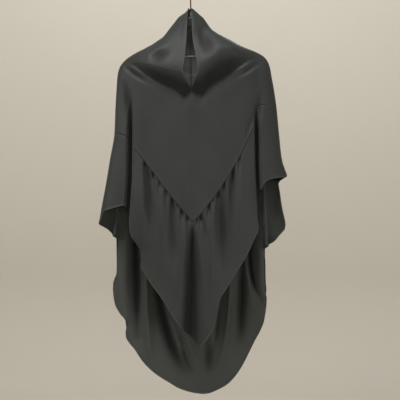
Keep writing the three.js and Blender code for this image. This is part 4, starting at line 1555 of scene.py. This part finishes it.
@dataclass
class ClothPiece:
    """One panel of the veil.

    Attributes:
        name: The piece's name.
        node: The CAD node that it stands for.
        form: The veil's form.
        steps: How finely it is divided.
        around: First and last place round the veil.
        edges: How its edges are finished.
        flat: Width and length of the cut cloth, in metres; not used.
        area: Flat area of the cut cloth, in square metres; not used.
        thickness: Thickness of the cloth, in metres.
        ripples: The slight unevenness of the cloth.
    """

    FINE_COLUMNS = 6000
    STEEP_SLACK = 1.5

    name: str
    node: str
    form: VeilForm
    steps: Steps
    around: tuple[float, float]
    edges: Edges
    flat: tuple[float, float]
    area: float
    thickness: float = 0.0008
    ripples: Ripples = Ripples()

    def columns(self) -> Array:
        """Works out the piece's columns.

        Returns:
            Their places round the veil, in growing order.
        """
        form = self.form
        steps = self.steps
        panel_front = np.linspace(0, form.lip, steps.front, endpoint=False)
        panel_back = np.linspace(0, form.lip, steps.back, endpoint=False)
        tuck = np.linspace(form.lip, form.sleeve, steps.tuck, endpoint=False)
        ease = (1 - np.linspace(0, 1, steps.sleeve, endpoint=False)) ** 2
        sleeve = mix(1, form.sleeve, ease)
        front = np.concatenate([panel_front, tuck, sleeve])
        back = 2 - np.concatenate([panel_back, tuck, sleeve])
        quarter = np.unique(np.concatenate([front, [1.0], back]).round(6))
        whole = np.unique(np.concatenate([-quarter, quarter, 4 - quarter]))
        start, end = self.around
        inner = whole[(whole > start + 1e-4) & (whole < end - 1e-4)]
        return self._split_steep(np.concatenate([[start], inner, [end]]))

    def _split_steep(self, columns: Array) -> Array:
        """Adds columns where the lower edge runs steeply, so that it keeps its shape there.

        Args:
            columns: Places round the veil, in growing order.

        Returns:
            The places with those that were added.
        """
        fine = np.unique(np.concatenate([columns, np.linspace(columns[0], columns[-1], self.FINE_COLUMNS)]))
        edge = self.form.height(self.down_at(fine, np.ones_like(fine)))
        run = np.concatenate([[0], np.cumsum(np.abs(np.diff(edge)))])
        reach = np.interp(columns, fine, run)
        added = [columns]
        for i in np.nonzero(np.diff(reach) > self.STEEP_SLACK * self.steps.steep)[0]:
            count = int(np.ceil((reach[i + 1] - reach[i]) / self.steps.steep))
            wanted = np.linspace(reach[i], reach[i + 1], count + 1)[1:-1]
            added.append(np.interp(wanted, run, fine))
        return np.unique(np.concatenate(added))

    def rows(self) -> Array:
        """The piece's rows, from 0 at its top to 1 at its lower edge."""
        return np.linspace(0, 1, self.steps.rows)

    def down_at(self, around: Array, row: Array) -> Array:
        """The share of the length down of a row."""
        raise NotImplementedError

    def relief(self, side: Side, face: Face, x: Array, down: Array, turn: Array) -> Array:
        """What this piece adds to the depth of the veil's form."""
        return self.ripples.at(x, self.form.height(down), -face.sign)

    def edge_highlight(self, around: Array, down: Array) -> Array:
        """The painted highlight at an edge where light would catch it, from 0 to 1."""
        raise NotImplementedError

    def points(self) -> tuple[Array, Array, Array]:
        """Works out the piece's grid.

        Returns:
            Its points, their places on the flat cloth and their painted shade and highlight, all of the
            same rows and columns.
        """
        around, row = np.meshgrid(self.columns(), self.rows())
        down = self.down_at(around, row)
        points_and_shade = self.form.point(around, down, self.relief)
        points = points_and_shade[..., :3]
        painted_light = np.stack([points_and_shade[..., 3], self.edge_highlight(around, down)], axis=-1)
        grid = finished_grid(points, self.edges)
        middle = points.shape[0] // 2
        along = np.linalg.norm(np.diff(points[middle], axis=0), axis=-1)
        width = np.concatenate([[0], np.cumsum(along)])
        flat = np.stack([np.broadcast_to(width, around.shape), points[..., 2]], axis=-1)
        return grid, self._padded(flat, grid.shape[:2]), self._padded(painted_light, grid.shape[:2])

    def _padded(self, values: Array, shape: tuple[int, int]) -> Array:
        """Repeats the last values over the turned edges.

        Args:
            values: Values at the points inside the edges.
            shape: Rows and columns of the grid with its turned edges.

        Returns:
            Values at all points of that grid.
        """
        rows = (self._turned_rows(self.edges.top), self._turned_rows(self.edges.bottom))
        columns = (self._turned_rows(self.edges.first), self._turned_rows(self.edges.last))
        padded = np.pad(values, (rows, columns, (0, 0)), mode="edge")
        if padded.shape[:2] != shape:
            raise ValueError(f"{self.name}: the values are {padded.shape[:2]} and the grid {shape}")
        return padded

    def _turned_rows(self, turn: Turn) -> int:
        """How many rows a turned edge adds."""
        return 0 if turn is Turn.NONE else TURN_STEPS + TURNS[turn].rows

    def build(self, sides: tuple[bpy.types.Material, ...]) -> bpy.types.Object:
        """Builds the panel, dresses it and puts it in the place of its CAD node.

        Args:
            sides: The materials of the cloth's outside and inside.

        Returns:
            The panel.
        """
        points, flat, painted_light = self.points()
        piece = cloth_sheet(self.name, points, flat, painted_light, self.thickness)
        for side in sides:
            piece.data.materials.append(side)
        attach(piece, "root")
        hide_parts(self.node)
        log.info("%s: %d rows, %d columns", self.name, *points.shape[:2])
        return piece


@dataclass
class Yoke(ClothPiece):
    """One half of the hood and yoke, from the centre front over the shoulder to the centre back.

    Lengths are in metres.

    Attributes:
        band: Width of the band along the face opening.
        band_rise: How far the band stands out.
        band_edge: Width of its sloping edge.
        band_fade: Share of the length over which it ends below the opening.
        stitch: Half width of the stitched line on the band.
        groove: Depth of the stitched line and of the centre seams.
        seam_width: Half width of a centre seam.
        pinch: Depth of the pinch at the seam under the yoke.
        pinch_width: How far above the seam the pinch reaches.
        ridge: Height of the ridge above the seam.
        ridge_up: How far above the seam the ridge lies.
        ridge_width: Half width of the ridge.
        edge_light: Strength of the painted highlight along the opening's edge, from 0 to 1.
        edge_reach: How far round the veil that edge reaches.
    """

    CROWDED = Table("share row", ((0.0, 0.0), (0.12, 0.16), (0.62, 0.44), (0.8, 0.66), (1.0, 1.0)))
    NEAR_SEAM = (0.0025, 0.005, 0.008, 0.012, 0.017)

    band: float = 0.015
    band_rise: float = 0.0006
    band_edge: float = 0.0018
    band_fade: float = 0.02
    stitch: float = 0.0012
    groove: float = 0.0006
    seam_width: float = 0.003
    pinch: float = 0.0016
    pinch_width: float = 0.0022
    ridge: float = 0.0008
    ridge_up: float = 0.0055
    ridge_width: float = 0.003
    edge_light: float = 0.6
    edge_reach: float = 0.012

    def rows(self) -> Array:
        """The rows, closest where the cowl turns under and at the seam."""
        crowded = self.CROWDED.curve("share", "row")(np.linspace(0, 1, self.steps.rows))
        return np.unique(np.concatenate([crowded, 1 - np.array(self.NEAR_SEAM)]))

    def edge_highlight(self, around: Array, down: Array) -> Array:
        """The painted highlight along the face opening's edge."""
        return self.edge_light * (np.abs(around) < self.edge_reach) * (down < self.form.opening_end)

    def down_at(self, around: Array, row: Array) -> Array:
        """The share of the length down of a row."""
        seam = np.where(around < 0, LEFT.seam(np.abs(around)), RIGHT.seam(np.abs(around)))
        return row * seam

    def relief(self, side: Side, face: Face, x: Array, down: Array, turn: Array) -> Array:
        """Adds the band along the face opening and the grooves at the seams.

        Args:
            side: The side of the veil.
            face: Its front or its back.
            x: Places across, in metres.
            down: Shares of the length down.
            turn: Places round the veil without their sign.

        Returns:
            What is added to the depth, in metres.
        """
        lift = super().relief(side, face, x, down, turn)
        centre = self.form.across(side, face, np.zeros_like(x), down)
        from_edge = np.abs(x - centre)
        if face is self.form.front:
            beside = 1 - smooth(self.form.opening_end, self.form.opening_end + self.band_fade, down)
            band = 1 - smooth(self.band - self.band_edge, self.band, from_edge)
            stitched = bell(from_edge - self.band + 2 * self.band_edge, self.stitch)
            lift = lift + beside * (self.band_rise * band - self.groove * stitched)
            seam = (1 - beside) * bell(from_edge, self.seam_width)
            lift = lift - seam * self.groove
        else:
            lift = lift - self.groove * bell(from_edge, self.seam_width)
        above = (side.seam(turn) - down) * self.form.length
        lift = lift - self.pinch * bell(above, self.pinch_width)
        return lift + self.ridge * bell(above - self.ridge_up, self.ridge_width)


@dataclass
class Flounce(ClothPiece):
    """A flounce under the yoke.

    Lengths are in metres.

    Attributes:
        seam_gap: Clearance below the seam.
        gathers: The gathers under the seam, if it has any.
        hem_stitch: How far above the hem its stitched line lies.
        hem_groove: Depth of that line.
        stitch: Half width of that line.
        pinch: Depth of the pinch at the seam.
        pinch_width: How far below the seam the pinch reaches.
        edge_light: Strength of the painted highlight along the hem, from 0 to 1.
        edge_reach: Distances above the hem where that starts to end and has ended.
    """

    NEAR_EDGE = (0.003, 0.006, 0.01, 0.015)

    seam_gap: float = 0.0006
    gathers: Gathers | None = None
    hem_stitch: float = 0.007
    hem_groove: float = 0.0004
    stitch: float = 0.0015
    pinch: float = 0.0016
    pinch_width: float = 0.0022
    edge_light: float = 0.8
    edge_reach: tuple[float, float] = (0.0015, 0.004)

    def rows(self) -> Array:
        """The rows, closest at the seam and at the hem."""
        close = np.array(self.NEAR_EDGE)
        return np.unique(np.concatenate([super().rows(), close, 1 - close]))

    def edge_highlight(self, around: Array, down: Array) -> Array:
        """The painted highlight along the hem."""
        above = (self._curve(around, LEFT.hem, RIGHT.hem) - down) * self.form.length
        return self.edge_light * (1 - smooth(*self.edge_reach, above))

    def _curve(self, around: Array, left: Curve, right: Curve) -> Array:
        """A curve over places round the veil that may lie on either side."""
        wrapped = np.where(around > 2, around - 4, around)
        turn = np.abs(wrapped)
        return np.where(wrapped < 0, left(turn), right(turn))

    def down_at(self, around: Array, row: Array) -> Array:
        """The share of the length down of a row."""
        top = self._curve(around, LEFT.seam, RIGHT.seam)
        hem = self._curve(around, LEFT.hem, RIGHT.hem)
        return mix(top + self.seam_gap / self.form.length, hem, row)

    def relief(self, side: Side, face: Face, x: Array, down: Array, turn: Array) -> Array:
        """Adds the gathers under the seam and the stitched groove over the hem.

        Args:
            side: The side of the veil.
            face: Its front or its back.
            x: Places across, in metres.
            down: Shares of the length down.
            turn: Places round the veil without their sign.

        Returns:
            What is added to the depth, in metres.
        """
        lift = super().relief(side, face, x, down, turn)
        below = (down - side.seam(turn)) * self.form.length
        if self.gathers is not None:
            lift = lift + self.gathers.lift(x, below)
        lift = lift - self.pinch * bell(below, self.pinch_width)
        above = (side.hem(turn) - down) * self.form.length
        return lift - self.hem_groove * bell(above - self.hem_stitch, self.stitch)


@dataclass
class Veil:
    """All the cloth of the veil.

    Attributes:
        form: The surface that all its cloth follows.
        clear: How far round the veil two panels keep from each other.
    """

    form: VeilForm = field(default_factory=VeilForm)
    clear: float = 1e-4

    def pieces(self) -> list[ClothPiece]:
        """Lists the panels.

        Returns:
            The panels, from the hood down.
        """
        form = self.form
        seam = self.clear
        middle = form.tuck_middle
        left_yoke = Edges(first=Turn.SEAM, last=Turn.FACING, top=Turn.NONE, bottom=Turn.SEAM)
        right_yoke = Edges(first=Turn.FACING, last=Turn.SEAM, top=Turn.NONE, bottom=Turn.SEAM)
        flounce = Edges(first=Turn.NONE, last=Turn.NONE, top=Turn.SEAM, bottom=Turn.HEM)
        fine = Steps(front=84, back=50, tuck=16, sleeve=16, rows=165)
        skirt = Steps(front=120, back=76, tuck=20, sleeve=16, rows=120)
        cape = Steps(front=80, back=96, tuck=20, sleeve=16, rows=130)
        sleeve = Steps(front=20, back=20, tuck=20, sleeve=24, rows=70)
        front_gathers = Gathers(form, GATHERS)
        back_gathers = Gathers(form, None, seed=11, depth=0.0026, reach=0.03)
        return [
            Yoke(
                "yoke_left_cloth",
                "yoke_left",
                form,
                fine,
                (-2 + seam, -seam),
                left_yoke,
                (0.62, 0.7),
                0.25,
            ),
            Yoke(
                "yoke_right_cloth",
                "yoke_right",
                form,
                fine,
                (seam, 2 - seam),
                right_yoke,
                (0.62, 0.7),
                0.25,
            ),
            Flounce(
                "front_flounce_cloth",
                "front_flounce",
                form,
                skirt,
                (-middle + seam, middle - seam),
                flounce,
                (0.7, 0.55),
                0.17,
                gathers=front_gathers,
            ),
            Flounce(
                "sleeve_flounce_left_cloth",
                "sleeve_flounce_left",
                form,
                sleeve,
                (-2 + middle + seam, -middle - seam),
                flounce,
                (0.3, 0.3),
                0.05,
            ),
            Flounce(
                "sleeve_flounce_right_cloth",
                "sleeve_flounce_right",
                form,
                sleeve,
                (middle + seam, 2 - middle - seam),
                flounce,
                (0.3, 0.3),
                0.05,
            ),
            Flounce(
                "back_flounce_cloth",
                "back_flounce",
                form,
                cape,
                (2 - middle + seam, 2 + middle - seam),
                flounce,
                (0.8, 0.8),
                0.3,
                gathers=back_gathers,
            ),
        ]

    def build(self) -> None:
        sides = (RIGHT_SIDE.material(), WRONG_SIDE_PAINTED_LIGHTER.material())
        for piece in self.pieces():
            sheet = piece.build(sides)
            isinstance(piece, Yoke)


@dataclass
class Hanger:
    """The hanger's CAD pieces, which keep their form and get their finishes.

    Attributes:
        finishes: The finish of each piece, by its CAD node's name.
    """

    finishes: Mapping[str, WoodFinish | MetalFinish] = field(
        default_factory=lambda: {
            "hanger_body": WoodFinish(),
            "hanger_bar": WoodFinish(),
            "hanger_ferrule": PALE_METAL,
            "hanger_hook": BROWN_METAL,
        }
    )

    def build(self) -> None:
        """Dresses each piece."""
        for name, finish in self.finishes.items():
            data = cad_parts[name].data
            data.materials.clear()
            data.materials.append(finish.material())
            log.info("%s: dressed", name)


@dataclass(frozen=True)
class Lamp:
    """A soft square light.

    Attributes:
        name: The light's name.
        place: Where it stands.
        target: The point that it looks at.
        size: Length of its side, in metres.
        power: Its power, in watts.
    """

    name: str
    place: Place
    target: Place
    size: float
    power: float

    def build(self) -> None:
        """Adds the light to the scene."""
        data = bpy.data.lights.new(self.name, "AREA")
        data.shape = "SQUARE"
        data.size = self.size
        data.energy = self.power
        light = bpy.data.objects.new(self.name, data)
        light.location = self.place
        light.rotation_mode = "QUATERNION"
        light.rotation_quaternion = (Vector(self.target) - Vector(self.place)).to_track_quat("-Z", "Y")
        bpy.context.scene.collection.objects.link(light)


LAMPS = (
    Lamp("key_light", (-0.4, -1.3, 1.7), (0.0, 0.0, -0.5), 1.1, 37.0),
    Lamp("fill_light", (0.1, -3.2, -0.3), (0.0, 0.0, -0.7), 0.5, 7.0),
    Lamp("left_light", (-2.0, -1.3, 0.0), (-0.2, 0.0, -0.5), 0.8, 10.0),
    Lamp("right_light", (1.8, -1.7, -1.1), (0.2, 0.0, -0.7), 0.8, 9.0),
    Lamp("low_light", (0.0, -1.5, -1.9), (0.0, 0.05, -1.1), 0.9, 2.5),
    Lamp("back_light", (0.2, 2.5, 1.15), (0.0, 0.0, -0.7), 1.0, 24.0),
    Lamp("wall_light", (0.0, 2.6, 2.2), (0.0, 5.5, -0.6), 3.0, 112.0),
    # Stands for the light that the thin cloth lets through to the back of the hood.
    Lamp("cloth_glow", (0.005, -0.04, -0.26), (0.005, 0.05, -0.235), 0.04, 0.05),
)


@dataclass
class Studio:
    """A plain pale floor that curves up into a wall all round, soft lights and the camera.

    Attributes:
        floor: Height of the floor.
        radius: Distance of the wall.
        top: Height of the wall's upper edge.
        cove: Radius of the curve between floor and wall.
        distance: Distance of the camera from the hanger's plane.
        centre: The point in the hanger's plane that the camera looks at, across and up.
        view_width: Width of that plane that the picture shows.
        sensor: Width of the camera's sensor, in millimetres.
        sky: Colour of the world's light.
        sky_strength: Strength of the world's light.
    """

    COVE_STEPS = 12
    ROUND_STEPS = 96

    floor: float = -2.0
    radius: float = 5.5
    top: float = 3.3
    cove: float = 0.8
    distance: float = 3.4
    centre: tuple[float, float] = (0.0295, -0.6404)
    view_width: float = 1.18
    sensor: float = 36.0
    sky: Colour = (0.94, 0.97, 1.0)
    sky_strength: float = 0.3

    def build(self) -> None:
        """Builds the room, the lights, the world and the camera."""
        self._room()
        for lamp in LAMPS:
            lamp.build()
        self._world()
        self._camera()

    def _room(self) -> None:
        """Builds the floor and wall as one turned surface."""
        mesh = bmesh.new()
        corner = Vector((self.radius - self.cove, 0, self.floor + self.cove))
        profile = [Vector((0, 0, self.floor))]
        for step in range(self.COVE_STEPS + 1):
            angle = math.pi / 2 * (step / self.COVE_STEPS - 1)
            profile.append(corner + self.cove * Vector((math.cos(angle), 0, math.sin(angle))))
        profile.append(Vector((self.radius, 0, self.top)))
        verts = [mesh.verts.new(place) for place in profile]
        edges = [mesh.edges.new(pair) for pair in zip(verts, verts[1:])]
        bmesh.ops.spin(
            mesh,
            geom=[*verts, *edges],
            cent=(0, 0, 0),
            axis=(0, 0, 1),
            dvec=(0, 0, 0),
            angle=math.tau,
            steps=self.ROUND_STEPS,
            use_merge=True,
        )
        bmesh.ops.remove_doubles(mesh, verts=mesh.verts, dist=1e-4)
        bmesh.ops.recalc_face_normals(mesh, faces=mesh.faces)
        bmesh.ops.reverse_faces(mesh, faces=mesh.faces)
        room = link_object("studio_floor", mesh)
        room.data.materials.append(StageFinish().material())

    def _world(self) -> None:
        """Sets a plain world."""
        world = bpy.data.worlds.new("studio_world")
        world.use_nodes = True
        background = world.node_tree.nodes["Background"]
        background.inputs["Color"].default_value = (*self.sky, 1.0)
        background.inputs["Strength"].default_value = self.sky_strength
        bpy.context.scene.world = world

    def _camera(self) -> None:
        """Adds the camera, straight in front as in the photograph."""
        data = bpy.data.cameras.new("camera")
        data.sensor_width = self.sensor
        data.lens = self.sensor * self.distance / self.view_width
        data.clip_end = 50.0
        camera = bpy.data.objects.new("camera", data)
        camera.location = (self.centre[0], -self.distance, self.centre[1])
        camera.rotation_euler = (math.pi / 2, 0, 0)
        bpy.context.scene.collection.objects.link(camera)
        bpy.context.scene.camera = camera
        bpy.context.scene.view_settings.view_transform = "Standard"


def main() -> None:
    """Builds the studio, the veil and its hanger, and reports each piece."""
    logging.basicConfig(level=logging.INFO, format="%(name)s: %(message)s")
    Studio().build()
    Veil().build()
    Hanger().build()


if __name__ == "__main__":
    main()
